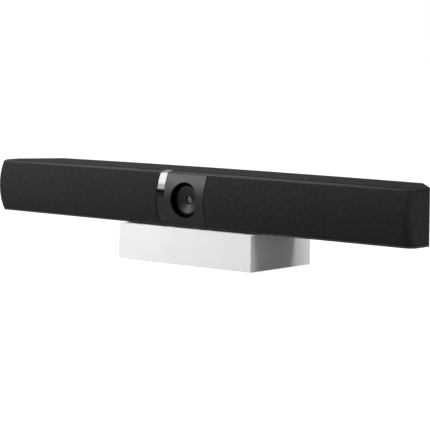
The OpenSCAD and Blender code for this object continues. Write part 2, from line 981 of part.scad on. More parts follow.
module speaker_basket(side) {
    lug = speaker_screw_radius * 2;
    color("#2b2b2e") in_speaker(side)
        difference() {
            union() {
                rotate_extrude($fn = round_detail)
                    polygon([
                        [basket_opening, 0],
                        [basket_radius, 0],
                        [basket_radius, basket_flange_thickness],
                        [basket_opening + basket_wall, basket_flange_thickness],
                        [magnet_radius, basket_depth - basket_wall],
                        [magnet_radius, basket_depth],
                        [basket_rear_radius, basket_depth],
                        [basket_rear_radius, basket_depth - basket_wall],
                        [magnet_radius - basket_wall, basket_depth - basket_wall],
                        [basket_opening, basket_flange_thickness]
                    ]);
                for (k = [0 : speaker_screw_count - 1])
                    rotate([0, 0, (k + 0.5) * 360 / speaker_screw_count])
                        translate([basket_radius + speaker_screw_radius - lug, -lug, 0])
                            cube([2 * lug, 2 * lug, basket_flange_thickness]);
            }
            translate([0, 0, -overrun])
                cylinder(h = basket_flange_thickness + overrun, r = basket_opening, $fn = round_detail);
            for (k = [0 : basket_window_count - 1])
                rotate([0, 0, k * 360 / basket_window_count])
                    along_x(basket_rear_radius, 0, basket_depth / 2)
                        cylinder(h = basket_radius, r = basket_window_radius, $fn = round_detail);
            for (k = [0 : speaker_screw_count - 1])
                rotate([0, 0, (k + 0.5) * 360 / speaker_screw_count])
                    translate([basket_radius + speaker_screw_radius, 0, -overrun])
                        cylinder(h = basket_flange_thickness + 2 * overrun,
                            r = speaker_screw_radius + running_fit, $fn = round_detail);
        }
}

module magnet(side) {
    color("#4a4b50") in_speaker(side)
        translate([0, 0, basket_depth])
            union() {
                ring(magnet_radius, coil_gap_radius, magnet_depth);
                translate([0, 0, magnet_depth])
                    cylinder(h = magnet_back, r = magnet_radius, $fn = round_detail);
                cylinder(h = magnet_depth + magnet_back, r = pole_radius, $fn = round_detail);
            }
}

module surround(side) {
    inner = cone_radius + surround_gap;
    middle = inner + surround_roll;
    outer = baffle_hole_radius - fit;
    color("#0e0e0f") in_speaker(side)
        translate([0, 0, -gasket_thickness])
            rotate_extrude($fn = round_detail)
                union() {
                    translate([middle + surround_roll - surround_skin, gasket_thickness - surround_skin])
                        square([outer - middle - surround_roll + surround_skin, surround_skin]);
                    translate([middle, gasket_thickness])
                        intersection() {
                            difference() {
                                circle(r = surround_roll, $fn = round_detail);
                                circle(r = surround_roll - surround_skin, $fn = round_detail);
                            }
                            translate([-2 * surround_roll, -2 * surround_roll])
                                square([4 * surround_roll, 2 * surround_roll]);
                        }
                }
}

module cone(side) {
    front = cone_front_y - basket_flange_y;
    neck = front + cone_depth;
    color("#3c3a38") in_speaker(side)
        union() {
            rotate_extrude($fn = round_detail)
                polygon([
                    [cone_radius, front],
                    [former_radius + former_wall, neck],
                    [former_radius, neck],
                    [former_radius, neck - cone_wall],
                    [cone_radius - cone_wall, front]
                ]);
            translate([0, 0, neck - cone_wall])
                ring(former_radius + former_wall, former_radius, former_length);
            translate([0, 0, neck - dome_rise])
                difference() {
                    glass(former_radius + former_wall / 2, dome_rise, dome_rise);
                    translate([0, 0, former_wall])
                        glass(former_radius + former_wall / 2, dome_rise, 2 * dome_rise);
                }
        }
}

module voice_coil(side) {
    front = cone_front_y - basket_flange_y;
    last = front + cone_depth - cone_wall + former_length;
    color("#a8622c") in_speaker(side)
        translate([0, 0, last - coil_length])
            ring(former_radius + former_wall + coil_thickness, former_radius + former_wall, coil_length);
}

module left_speaker_basket() { speaker_basket("left"); }
module right_speaker_basket() { speaker_basket("right"); }
module left_magnet() { magnet("left"); }
module right_magnet() { magnet("right"); }
module left_surround() { surround("left"); }
module right_surround() { surround("right"); }
module left_cone() { cone("left"); }
module right_cone() { cone("right"); }
module left_voice_coil() { voice_coil("left"); }
module right_voice_coil() { voice_coil("right"); }

module speaker_gaskets() {
    color("#151515") in_bar()
        for (s = [-1, 1])
            along_y(s * speaker_x, baffle_rear_y, speaker_z)
                ring(basket_radius, baffle_hole_radius + fit, gasket_thickness);
}

module speaker_screws() {
    grip = basket_flange_thickness + gasket_thickness;
    color("#9a9da0") in_bar()
        speaker_screw_places(baffle_rear_y + grip)
            rotate([180, 0, 0])
                screw(speaker_screw_radius, grip + baffle_thickness - loose_fit,
                    speaker_screw_radius * screw_head_ratio_share,
                    speaker_screw_radius * screw_head_height_share);
}

// Microphones
module microphone_places(y) {
    for (s = [-1, 1], k = [0 : microphone_count - 1])
        along_y(s * (microphone_first_x + k * microphone_pitch), y,
            floor_thickness + microphone_board_low + microphone_board_height / 2)
            children();
}

module microphone_boards() {
    board_reach = (microphone_count - 1) * microphone_pitch + 2 * microphone_board_margin;
    color("#1f5c38") in_bar()
        for (s = [-1, 1])
            translate([s * (microphone_first_x - microphone_board_margin + board_reach / 2) - board_reach / 2,
                baffle_y - microphone_board_thickness, floor_thickness + microphone_board_low])
                cube([board_reach, microphone_board_thickness, microphone_board_height]);
}

module microphone_capsules() {
    color("#b9a36a") in_bar()
        microphone_places(baffle_y - microphone_board_thickness - capsule_thickness)
            cylinder(h = capsule_thickness, r = capsule_radius, $fn = round_detail);
}

module microphone_boots() {
    color("#161616") in_bar()
        microphone_places(baffle_y - microphone_board_thickness - capsule_thickness - boot_length)
            ring(boot_radius, boot_hole, boot_length);
}

// Electronics
module main_board() {
    color("#1f5c38") in_bar()
        difference() {
            translate([-board_half, board_front_y, board_z])
                cube([board_length, board_depth, board_thickness]);
            for (sx = [-1, 1], y = [board_front_y + standoff_margin, board_rear_y - standoff_margin])
                translate([sx * (board_half - standoff_margin), y, board_z - overrun])
                    cylinder(h = board_thickness + 2 * overrun, r = board_screw_radius + fit,
                        $fn = round_detail);
        }
}

module board_chips() {
    color("#222226") in_bar()
        for (k = [0 : len(chip_side_shares) - 1])
            translate([chip_margin - board_half + board_depth * chip_place_shares[k][0],
                board_front_y + board_depth * chip_place_shares[k][1], board_top])
                cube([board_depth * chip_side_shares[k], board_depth * chip_side_shares[k], chip_height]);
}

module board_capacitors() {
    color("#3b3f4a") in_bar()
        for (k = [0 : capacitor_count - 1])
            translate([-capacitor_x - k * capacitor_pitch, board_front_y + capacitor_radius + board_gap, board_top])
                cylinder(h = capacitor_height, r = capacitor_radius, $fn = round_detail);
}

module processor_shield() {
    color("#b4b7ba") in_bar()
        translate([processor_x - processor_side / 2, processor_y - sink_depth / 2 + shield_margin, board_top])
            cube([processor_side, sink_depth - 2 * shield_margin, shield_height]);
}

module thermal_pad() {
    color("#8a9bb0") in_bar()
        translate([processor_x - processor_side / 2 + shield_margin,
            processor_y - sink_depth / 2 + 2 * shield_margin, board_top + shield_height])
            cube([processor_side - 2 * shield_margin, sink_depth - 4 * shield_margin, thermal_thickness]);
}

module heat_sink() {
    low = board_top + shield_height + thermal_thickness;
    pitch = (sink_width - fin_thickness) / (fin_count - 1);
    color("#a5a8ab") in_bar()
        translate([processor_x - sink_width / 2, processor_y - sink_depth / 2, low]) {
            cube([sink_width, sink_depth, sink_base]);
            for (k = [0 : fin_count - 1])
                translate([k * pitch, 0, 0])
                    cube([fin_thickness, sink_depth, sink_height]);
        }
}

module board_screws() {
    color("#9a9da0") in_bar()
        for (sx = [-1, 1], y = [board_front_y + standoff_margin, board_rear_y - standoff_margin])
            translate([sx * (board_half - standoff_margin), y, board_top])
                rotate([180, 0, 0])
                    screw(board_screw_radius, board_thickness + board_height - loose_fit,
                        board_screw_radius * screw_head_ratio_share,
                        board_screw_radius * screw_head_height_share);
}

module antenna_boards() {
    color("#1f5c38") in_bar()
        for (s = [-1, 1])
            translate([s * (partition_x - partition_thickness / 2 - antenna_thickness / 2)
                - antenna_thickness / 2, antenna_low_y, cover_underside - antenna_height - post_radius])
                cube([antenna_thickness, antenna_length, antenna_height]);
}

// Connector panel
module socket_hole(x, size) {
    translate([x - size[0] / 2 - fit, panel_flange_y - overrun, board_top - fit])
        cube([size[0] + 2 * fit, wall + panel_plate + 2 * overrun, size[2] + 2 * fit]);
}

module io_panel() {
    color("#202022") in_bar()
        difference() {
            union() {
                translate([panel_x - panel_width / 2 + fit, panel_flange_y, panel_z + fit])
                    cube([panel_width - 2 * fit, panel_face_y - panel_flange_y, panel_height - 2 * fit]);
                translate([panel_x - panel_width / 2 - panel_flange, panel_flange_y, panel_z - panel_flange])
                    cube([panel_width + 2 * panel_flange, panel_plate, panel_height + 2 * panel_flange]);
            }
            socket_hole(network_x, network_size);
            socket_hole(display_x, display_size);
            socket_hole(usb_x, usb_size);
            socket_hole(power_x, power_size);
            along_y(reset_x, panel_flange_y - overrun, reset_z)
                cylinder(h = wall + panel_plate + 2 * overrun, r = reset_radius + running_fit,
                    $fn = round_detail);
        }
}

// A socket body whose mouth is flush with the panel
module socket_body(x, size) {
    translate([x - size[0] / 2, panel_face_y - size[1], board_top])
        cube(size);
}

module socket_cavity(x, size, cavity) {
    translate([x - cavity[0] / 2, panel_face_y - cavity[1], board_top + (size[2] - cavity[2]) / 2])
        cube([cavity[0], cavity[1] + overrun, cavity[2]]);
}

module socket_tongue(x, size, cavity) {
    translate([x - cavity[0] / 2 + tongue_margin, panel_face_y - cavity[1] - overrun,
        board_top + (size[2] - tongue_thickness) / 2])
        cube([cavity[0] - 2 * tongue_margin, cavity[1], tongue_thickness]);
}

module network_socket() {
    color("#b4b7ba") in_bar()
        difference() {
            socket_body(network_x, network_size);
            socket_cavity(network_x, network_size, network_cavity);
            translate([network_x - network_latch[0] / 2, panel_face_y - network_cavity[1],
                board_top + (network_size[2] - network_cavity[2]) / 2 - network_latch[1] / 2])
                cube([network_latch[0], network_cavity[1] + overrun, network_latch[1]]);
        }
}

module usb_socket() {
    color("#b4b7ba") in_bar()
        union() {
            difference() {
                socket_body(usb_x, usb_size);
                socket_cavity(usb_x, usb_size, usb_cavity);
            }
            socket_tongue(usb_x, usb_size, usb_cavity);
        }
}

module display_socket() {
    color("#b4b7ba") in_bar()
        union() {
            difference() {
                socket_body(display_x, display_size);
                socket_cavity(display_x, display_size, display_cavity);
            }
            socket_tongue(display_x, display_size, display_cavity);
        }
}

module power_socket() {
    color("#18181a") in_bar()
        union() {
            difference() {
                socket_body(power_x, power_size);
                along_y(power_x, panel_face_y - power_bore_depth, board_top + power_size[2] / 2)
                    cylinder(h = power_bore_depth + overrun, r = power_bore_radius, $fn = round_detail);
            }
            along_y(power_x, panel_face_y - power_bore_depth - overrun, board_top + power_size[2] / 2)
                cylinder(h = power_bore_depth, r = power_pin_radius, $fn = round_detail);
        }
}

// The button's outer end stops short of the panel's face, its flange behind the panel keeps it in
module reset_button() {
    flange_front = panel_flange_y - fit;
    color("#c9c9c6") in_bar() {
        along_y(reset_x, flange_front - reset_flange_thickness - reset_tail, reset_z)
            cylinder(h = panel_face_y - reset_recess - flange_front + reset_flange_thickness + reset_tail,
                r = reset_radius, $fn = round_detail);
        along_y(reset_x, flange_front - reset_flange_thickness, reset_z)
            cylinder(h = reset_flange_thickness, r = reset_flange_radius, $fn = round_detail);
    }
}

module reset_switch() {
    rear_end = panel_flange_y - fit - reset_flange_thickness - reset_tail;
    nub_face = rear_end - reset_travel - fit;
    color("#2a2a2e") in_bar() {
        translate([reset_x - switch_side / 2, nub_face - switch_nub - switch_depth, board_top])
            cube([switch_side, switch_depth, reset_z - board_top + switch_side / 2]);
        along_y(reset_x, nub_face - switch_nub, reset_z)
            cylinder(h = switch_nub, r = switch_nub_radius, $fn = round_detail);
    }
}

// Threaded inserts and housing screws
module rear_inserts() {
    color("#b08d4a") in_bar()
        for (s = [-1, 1], z = [-1, 1])
            along_y(s * rear_insert_span / 2, bar_depth - insert_length, speaker_z + z * rear_insert_rise / 2)
                ring(rear_thread_radius + insert_wall, rear_thread_radius, insert_length);
}

module bottom_inserts() {
    color("#b08d4a") in_bar()
        for (s = [-1, 1])
            translate([s * stand_screw_span / 2, stand_screw_y, 0])
                ring(stand_thread_radius + insert_wall, stand_thread_radius, insert_length);
}

module housing_screws() {
    color("#2a2a2c") in_bar()
        screw_posts()
            translate([0, 0, housing_head_height])
                screw(post_bore - running_fit, housing_screw_length - housing_head_height,
                    housing_head_radius, housing_head_height);
}

// Stand
module bar_pads() {
    color("#161616") in_bar()
        for (s = [-1, 1], y = [pad_front_y, pad_rear_y])
            translate([s * pad_x, y, -pad_thickness])
                cylinder(h = pad_thickness, r = pad_radius, $fn = round_detail);
}

module stand_corner_places() {
    for (sx = [-1, 1], sy = [-1, 1])
        translate([sx * (stand_width / 2 - stand_post_margin), sy * (stand_depth / 2 - stand_post_margin), 0])
            children();
}

module stand_screw_places(z) {
    for (s = [-1, 1])
        translate([s * stand_screw_span / 2, bar_front_y + stand_screw_y, z])
            children();
}

module stand_shell() {
    base_top = foot_thickness + base_thickness;
    color("#f4f4f2")
        difference() {
            union() {
                difference() {
                    translate([-stand_width / 2, -stand_depth / 2, stand_rim_gap])
                        cube([stand_width, stand_depth, stand_height - stand_rim_gap]);
                    translate([stand_wall - stand_width / 2, stand_wall - stand_depth / 2, -overrun])
                        cube([stand_width - 2 * stand_wall, stand_depth - 2 * stand_wall,
                            stand_height - stand_top + overrun]);
                }
                stand_corner_places()
                    translate([0, 0, base_top])
                        cylinder(h = stand_height - stand_top / 2 - base_top, r = stand_post_radius,
                            $fn = round_detail);
                stand_screw_places(stand_height - stand_top - stand_boss_height)
                    cylinder(h = stand_boss_height + stand_top / 2, r = stand_boss_radius,
                        $fn = round_detail);
            }
            stand_corner_places()
                translate([0, 0, base_top - overrun])
                    cylinder(h = post_bore_depth + overrun, r = post_bore, $fn = round_detail);
            stand_screw_places(stand_height - stand_top - stand_boss_height - overrun)
                cylinder(h = stand_boss_height + stand_top + 2 * overrun, r = stand_thread_radius + loose_fit,
                    $fn = round_detail);
        }
}

module stand_base_plate() {
    color("#5a5d60")
        difference() {
            translate([stand_wall + base_gap - stand_width / 2, stand_wall + base_gap - stand_depth / 2,
                foot_thickness])
                cube([stand_width - 2 * (stand_wall + base_gap), stand_depth - 2 * (stand_wall + base_gap),
                    base_thickness]);
            stand_corner_places()
                translate([0, 0, foot_thickness - overrun])
                    cylinder(h = base_thickness + 2 * overrun, r = post_bore + loose_fit,
                        $fn = round_detail);
            stand_corner_places()
                translate([0, 0, foot_thickness - overrun])
                    cylinder(h = overrun + housing_head_height, r = housing_head_radius + loose_fit,
                        $fn = round_detail);
        }
}

module stand_feet() {
    inset = stand_post_margin + foot_margin;
    color("#161616")
        for (sx = [-1, 1], sy = [-1, 1])
            translate([sx * (stand_width / 2 - inset), sy * (stand_depth / 2 - stand_post_margin), 0])
                cylinder(h = foot_thickness, r = foot_radius, $fn = round_detail);
}

module stand_screws() {
    head_face = stand_height - stand_top - stand_boss_height;
    color("#9a9da0")
        stand_screw_places(head_face)
            screw(stand_thread_radius - running_fit, bar_base_z + insert_length - head_face - overrun,
                stand_head_radius, stand_head_height);
}

module stand_base_screws() {
    color("#9a9da0")
        stand_corner_places()
            translate([0, 0, foot_thickness + housing_head_height])
                screw(post_bore - running_fit, housing_screw_length - housing_head_height,
                    housing_head_radius, housing_head_height);
}

bottom_tray();
rear_cover();
top_cover();
front_baffle();
speaker_partitions();
left_grille_frame();
right_grille_frame();
left_grille_fabric();
right_grille_fabric();
camera_fascia();
accent_strip();
lens_ring();
camera_bracket();
tilt_washers();
camera_screws();
pod_shell();
lens_barrel();
front_lens();
rear_lens();
sensor_board();
sensor_chip();
left_speaker_basket();
right_speaker_basket();
left_magnet();
right_magnet();
left_surround();
right_surround();
left_cone();
right_cone();
left_voice_coil();
right_voice_coil();
speaker_gaskets();
speaker_screws();
microphone_boards();
microphone_capsules();
microphone_boots();
main_board();
board_chips();
board_capacitors();
processor_shield();
thermal_pad();
heat_sink();
board_screws();
antenna_boards();
io_panel();
network_socket();
usb_socket();
display_socket();
power_socket();
reset_button();
reset_switch();
rear_inserts();
bottom_inserts();
housing_screws();
bar_pads();
stand_shell();
stand_base_plate();
stand_feet();
stand_screws();
stand_base_screws();
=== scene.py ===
import json
import math

import bpy
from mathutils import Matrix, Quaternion, Vector

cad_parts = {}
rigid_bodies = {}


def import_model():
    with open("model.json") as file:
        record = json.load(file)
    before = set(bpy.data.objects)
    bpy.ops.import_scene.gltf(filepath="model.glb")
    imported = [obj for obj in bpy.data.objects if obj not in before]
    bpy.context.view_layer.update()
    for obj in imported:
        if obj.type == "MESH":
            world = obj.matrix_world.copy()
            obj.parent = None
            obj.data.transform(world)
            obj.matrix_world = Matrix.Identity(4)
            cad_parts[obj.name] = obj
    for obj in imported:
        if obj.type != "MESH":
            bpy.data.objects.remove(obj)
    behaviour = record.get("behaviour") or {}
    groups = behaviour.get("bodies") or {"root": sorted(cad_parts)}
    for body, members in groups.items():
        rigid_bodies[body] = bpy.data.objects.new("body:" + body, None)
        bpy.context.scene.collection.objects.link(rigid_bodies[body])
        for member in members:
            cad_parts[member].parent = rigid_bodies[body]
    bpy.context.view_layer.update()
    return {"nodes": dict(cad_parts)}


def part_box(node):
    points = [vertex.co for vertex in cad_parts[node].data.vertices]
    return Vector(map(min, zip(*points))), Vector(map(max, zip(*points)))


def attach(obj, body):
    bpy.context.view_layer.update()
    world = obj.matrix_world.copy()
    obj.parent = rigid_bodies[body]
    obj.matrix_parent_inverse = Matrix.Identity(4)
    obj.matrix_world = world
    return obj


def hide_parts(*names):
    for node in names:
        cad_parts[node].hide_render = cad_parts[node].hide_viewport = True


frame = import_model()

bl_info = {
    "name": "Conference camera looks",
    "version": (1, 0, 0),
    "blender": (4, 5, 0),
    "location": "View3D > Sidebar > Conference camera",
    "description": "Dresses the conference camera: grille cloth, edges, finishes and the studio",
    "category": "Object",
}

MM = 0.001
NODES = frame["nodes"]

# Sizes of the bar, read from the frame where a node gives them
TRAY_LOW, TRAY_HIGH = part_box("bottom_tray")
FACE_FRONT_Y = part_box("camera_fascia")[0].y
STRIP_REAR_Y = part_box("accent_strip")[1].y
BAR_BASE_Z = TRAY_LOW.z
HALF_LENGTH = TRAY_HIGH.x
CORNER_RADIUS = 9 * MM
TOP_CROWN = 1.5 * MM

# Outer radius of the rim round the mouth of the eyeball's funnel. Past it the shell is matt and
# painted darker, as painted shade of the gap round its mouth
EYEBALL_RIM = 16.7 * MM

# Outer radius of the edge round the recess, whose own radius is 21 mm. The edge is matt and painted
# darker, as painted shade of the gap round the recess
RECESS_PAINTED_SHADE_EDGE = 21.4 * MM

# The polished strip folds over the whole slope of the top's front edge. The smooth band of the
# cover takes up the slope's front part and ends this far before it.
BAND_REAR_Y = STRIP_REAR_Y - 4 * MM

# Half the width over which one finish passes into the next on the cover, and over which the finish and
# the painted shade change round the lens axis
BAND_BLEND = 0.2 * MM
ZONE_BLEND = 0.05 * MM

# The bowed front is part of a cylinder along the bar. The tray's front lip lies on it too, so the
# cylinder follows from the most forward line, the height of the face and the depth of the bow.
FACE_HEIGHT = 64 * MM
FACE_BULGE = 7.8 * MM
FACE_MIDDLE = FACE_HEIGHT / 2
FACE_RADIUS = (FACE_MIDDLE ** 2 + FACE_BULGE ** 2) / (2 * FACE_BULGE)
FACE_AXIS_Y = FACE_FRONT_Y + FACE_RADIUS

# Steps of the cloth's mesh where it turns in, round the corner and along the end face, and the
# distance within which its points are one
TURN_STEPS = 3
CORNER_STEPS = 12
END_STEPS = 14
CLOTH_WELD = 0.01 * MM

# Knit: width and height of a loop as drawn, in millimetres
WALE_WIDTH = 1.1
COURSE_HEIGHT = 0.9

# Mouldings: width in millimetres of the clouds that their flow in the mould leaves, how far the
# roughness strays, and how strongly the etched skin shows
CLOUD_WIDTH = 35
GLOSS_SPREAD = 0.04
SKIN_STRENGTH = 0.35

# Softened edges: points closer than this are one, faces within this angle are one face, and edges
# past the other two are shaded sharp and bevelled
WELD = 0.002 * MM
FLAT_ANGLE = math.radians(0.1)
SHADED_ANGLE = math.radians(35)
BEVELLED_ANGLE = math.radians(50)
BEVEL_STEPS = 3

# Studio: fill light at the left and at the right as a share of its strength, and the heights
# between which the white backdrop, as metal and glass see it, fades out
FILL_LEFT = 0.55
FILL_RIGHT = 1.4
BACKDROP_FADE = (0.03, 0.09)
FLOOR_SIZE = 60.0
SENSOR_WIDTH = 36.0

# Softboxes: place and size in metres, and radiance. The photo's key light is in two steps, which
# the polished strip mirrors one above the other.
LAMP_AIM = (0.0, -0.05, 0.08)
LAMPS = {
    "key, upper part": ((-0.882, -0.829, 0.757), (0.24, 0.6), 44.0),
    "key, lower part": ((-0.998, -0.930, 0.399), (0.24, 0.18), 22.0),
    "side, right": ((1.7, 0.0, 1.14), (0.6, 0.6), 22.0),
    "edge, rear left": ((-1.79, 1.63, 0.99), (1.2, 0.7), 1.0),
}


def deselect_all():
    for obj in bpy.context.view_layer.objects:
        obj.select_set(False)


def make_active(obj):
    deselect_all()
    obj.select_set(True)
    bpy.context.view_layer.objects.active = obj


# Material helpers
def linear(code):
    """A colour written as sRGB hex, as linear RGBA."""
    values = []
    for start in (1, 3, 5):
        part = int(code[start:start + 2], 16) / 255
        values.append(part / 12.92 if part <= 0.04045 else ((part + 0.055) / 1.055) ** 2.4)
    return (*values, 1.0)


def wire(tree, node, inputs):
    """Sets a node's inputs: each is a plain value or another node's output."""
    for name, value in inputs.items():
        socket = node.inputs[name]
        if isinstance(value, bpy.types.NodeSocket):
            tree.links.new(value, socket)
        else:
            socket.default_value = value


def add(tree, kind, inputs=None, stops=None, **settings):
    """Adds one node with its settings and links. Stops are the places and colours of a ramp."""
    node = tree.nodes.new(kind)
    for name, value in settings.items():
        setattr(node, name, value)
    wire(tree, node, inputs or {})
    if stops:
        elements = node.color_ramp.elements
        while len(elements) < len(stops):
            elements.new(0.5)
        for element, (place, colour) in zip(elements, stops):
            element.position = place
            element.color = linear(colour)
    return node


def blank(name):
    """A new material with its tree and its shader."""
    material = bpy.data.materials.new(name)
    material.use_nodes = True
    return material, material.node_tree, material.node_tree.nodes["Principled BSDF"]


def per_mm(size):
    """The scale at which a noise's features are about this many millimetres wide."""
    return 1 / (size * MM)


def bands_per_mm(pitch):
    """The scale at which a wave texture repeats once in this many millimetres."""
    return math.pi / (10 * pitch * MM)


def moulded(name, dark, light, roughness, texture=0.4, depth=0.01, **sockets):
    """Moulded, coated or pressed stuff: a faint cloudiness in its colour and gloss, as the flow in the
    mould leaves it, over a fine etched or pebbled skin whose grains are this many millimetres wide."""
    material, tree, shader = blank(name)
    place = add(tree, "ShaderNodeTexCoord").outputs["Object"]
    clouds = add(tree, "ShaderNodeTexNoise",
                 {"Vector": place, "Scale": per_mm(CLOUD_WIDTH), "Detail": 2.0})
    skin = add(tree, "ShaderNodeTexNoise",
               {"Vector": place, "Scale": per_mm(texture), "Detail": 3.0, "Roughness": 0.6})
    colour = add(tree, "ShaderNodeValToRGB", {"Fac": clouds.outputs["Fac"]},
                 [(0.3, dark), (0.75, light)])
    gloss = add(tree, "ShaderNodeMapRange",
                {"Value": clouds.outputs["Fac"], "To Min": roughness - GLOSS_SPREAD,
                 "To Max": roughness + GLOSS_SPREAD})
    bump = add(tree, "ShaderNodeBump",
               {"Height": skin.outputs["Fac"], "Strength": SKIN_STRENGTH, "Distance": depth * MM})
    wire(tree, shader, {"Base Color": colour.outputs["Color"], "Roughness": gloss.outputs["Result"],
                        "Normal": bump.outputs["Normal"]})
    wire(tree, shader, {socket.replace("_", " "): value for socket, value in sockets.items()})
    return material


def bare_metal(name, dark, light, roughness, line=0.4, along=(1.0, 1.0, 1.0), depth=0.006):
    """Bare or plated metal: fine lines or grains from turning, rolling or blasting, drawn out along
    one axis, which stretch its reflections, with patches that are a little duller."""
    material, tree, shader = blank(name)
    place = add(tree, "ShaderNodeTexCoord").outputs["Object"]
    drawn = add(tree, "ShaderNodeMapping", {"Vector": place, "Scale": along})
    lines = add(tree, "ShaderNodeTexNoise",
                {"Vector": drawn.outputs["Vector"], "Scale": per_mm(line), "Detail": 4.0,
                 "Roughness": 0.6})
    patches = add(tree, "ShaderNodeTexNoise", {"Vector": place, "Scale": per_mm(12), "Detail": 2.0})
    colour = add(tree, "ShaderNodeValToRGB", {"Fac": lines.outputs["Fac"]},
                 [(0.3, dark), (0.7, light)])
    gloss = add(tree, "ShaderNodeMapRange",
                {"Value": patches.outputs["Fac"], "To Min": roughness - 0.05,
                 "To Max": roughness + 0.07})
    bump = add(tree, "ShaderNodeBump",
               {"Height": lines.outputs["Fac"], "Strength": 0.3, "Distance": depth * MM})
    wire(tree, shader, {"Base Color": colour.outputs["Color"], "Roughness": gloss.outputs["Result"],
                        "Normal": bump.outputs["Normal"], "Metallic": 1.0})
    return material


# Materials of their own kind
def knitted_polyester():
    """Warp-knitted polyester cloth, piece dyed charcoal: rows of small loops, whose crowns are painted
    lighter and whose gaps are painted darker as highlight and shade, so that it looks soft and even
    from a step away.
    The loops are drawn 1.1 mm wide, about twice their real size, because finer ones wouldn't show."""
    material, tree, shader = blank("polyester cloth, knitted, charcoal")
    place = add(tree, "ShaderNodeUVMap", uv_map="cloth").outputs["UV"]
    sway = add(tree, "ShaderNodeTexNoise", {"Vector": place, "Scale": per_mm(4), "Detail": 2.0})
    centred = add(tree, "ShaderNodeVectorMath", {0: sway.outputs["Color"], 1: (0.5, 0.5, 0.5)},
                  operation="SUBTRACT")
    small = add(tree, "ShaderNodeVectorMath", {0: centred.outputs["Vector"], "Scale": 0.4 * MM},
                operation="SCALE")
    yarn = add(tree, "ShaderNodeVectorMath", {0: place, 1: small.outputs["Vector"]}, operation="ADD")
    wales = add(tree, "ShaderNodeTexWave",
                {"Vector": yarn.outputs["Vector"], "Scale": bands_per_mm(WALE_WIDTH)},
                wave_type="BANDS", bands_direction="X")
    courses = add(tree, "ShaderNodeTexWave",
                  {"Vector": yarn.outputs["Vector"], "Scale": bands_per_mm(COURSE_HEIGHT)},
                  wave_type="BANDS", bands_direction="Y")
    loops = add(tree, "ShaderNodeMath", {0: wales.outputs["Fac"], 1: courses.outputs["Fac"]},
                operation="MULTIPLY")
    slubs = add(tree, "ShaderNodeTexNoise",
                {"Vector": place, "Scale": per_mm(6), "Detail": 5.0, "Roughness": 0.75})
    height = add(tree, "ShaderNodeMix",
                 {0: 0.55, 2: loops.outputs["Value"], 3: slubs.outputs["Fac"]}, data_type="FLOAT")
    # Lighter on the loops' crowns and darker between them: painted highlight and painted shade, mixed
    # with the slubs' real unevenness
    colour = add(tree, "ShaderNodeValToRGB", {"Fac": height.outputs["Result"]},
                 [(0.2, "#1c1c1c"), (0.5, "#292929"), (0.8, "#393939")])
    bump = add(tree, "ShaderNodeBump",
               {"Height": loops.outputs["Value"], "Strength": 0.35, "Distance": 0.15 * MM})
    wire(tree, shader, {"Base Color": colour.outputs["Color"], "Normal": bump.outputs["Normal"],
                        "Roughness": 0.9, "Specular IOR Level": 0.05, "Sheen Weight": 0.05,
                        "Sheen Roughness": 0.5, "Sheen Tint": linear("#b6b6b6")})
    return material


def powder_coated_white():
    """Steel, powder coated white: a fine orange peel that softens its reflections."""
    return moulded("steel, powder coated, white", "#e5e5e4", "#eaeae9", 0.7, 1.1, 0.02,
                   Specular_IOR_Level=0.1)


def polished_black_strip():
    """Polycarbonate, polished and backed with black: it mirrors the lamps like dark glass, with the
    faint waves that a thin moulded strip keeps."""
    material, tree, shader = blank("polycarbonate, polished, black")
    place = add(tree, "ShaderNodeTexCoord").outputs["Object"]
    waves = add(tree, "ShaderNodeTexNoise", {"Vector": place, "Scale": per_mm(14), "Detail": 1.0})
    haze = add(tree, "ShaderNodeTexNoise", {"Vector": place, "Scale": per_mm(2.5), "Detail": 4.0})
    colour = add(tree, "ShaderNodeValToRGB", {"Fac": haze.outputs["Fac"]},
                 [(0.3, "#050506"), (0.7, "#08080a")])
    gloss = add(tree, "ShaderNodeMapRange",
                {"Value": haze.outputs["Fac"], "To Min": 0.05, "To Max": 0.1})
    bump = add(tree, "ShaderNodeBump",
               {"Height": waves.outputs["Fac"], "Strength": 0.12, "Distance": 0.05 * MM})
    wire(tree, shader, {"Base Color": colour.outputs["Color"], "Roughness": gloss.outputs["Result"],
                        "Normal": bump.outputs["Normal"], "IOR": 1.5, "Specular IOR Level": 0.18})
    return material


def moulded_cover():
    """ABS, moulded, dark grey: a spark texture keeps its top dull, and a band along its front edge
    comes smoother from the mould, so that it shows as a lighter line."""
    material, tree, shader = blank("ABS, moulded, dark grey, spark texture")
    place = add(tree, "ShaderNodeTexCoord").outputs["Object"]
    depth = add(tree, "ShaderNodeSeparateXYZ", {"Vector": place}).outputs["Y"]
    band = add(tree, "ShaderNodeMapRange", {"Value": depth, "From Min": BAND_REAR_Y + BAND_BLEND,
                                            "From Max": BAND_REAR_Y - BAND_BLEND})
    sparks = add(tree, "ShaderNodeTexNoise",
                 {"Vector": place, "Scale": per_mm(0.5), "Detail": 3.0, "Roughness": 0.6})
    colour = add(tree, "ShaderNodeValToRGB", {"Fac": sparks.outputs["Fac"]},
                 [(0.3, "#141414"), (0.75, "#191919")])
    gloss = add(tree, "ShaderNodeMapRange", {"Value": band.outputs["Result"], "To Min": 0.64,
                                             "To Max": 0.42})
    bump = add(tree, "ShaderNodeBump",
               {"Height": sparks.outputs["Fac"], "Strength": SKIN_STRENGTH, "Distance": 0.012 * MM})
    wire(tree, shader, {"Base Color": colour.outputs["Color"], "Roughness": gloss.outputs["Result"],
                        "Specular IOR Level": 0.095, "Normal": bump.outputs["Normal"]})
    return material


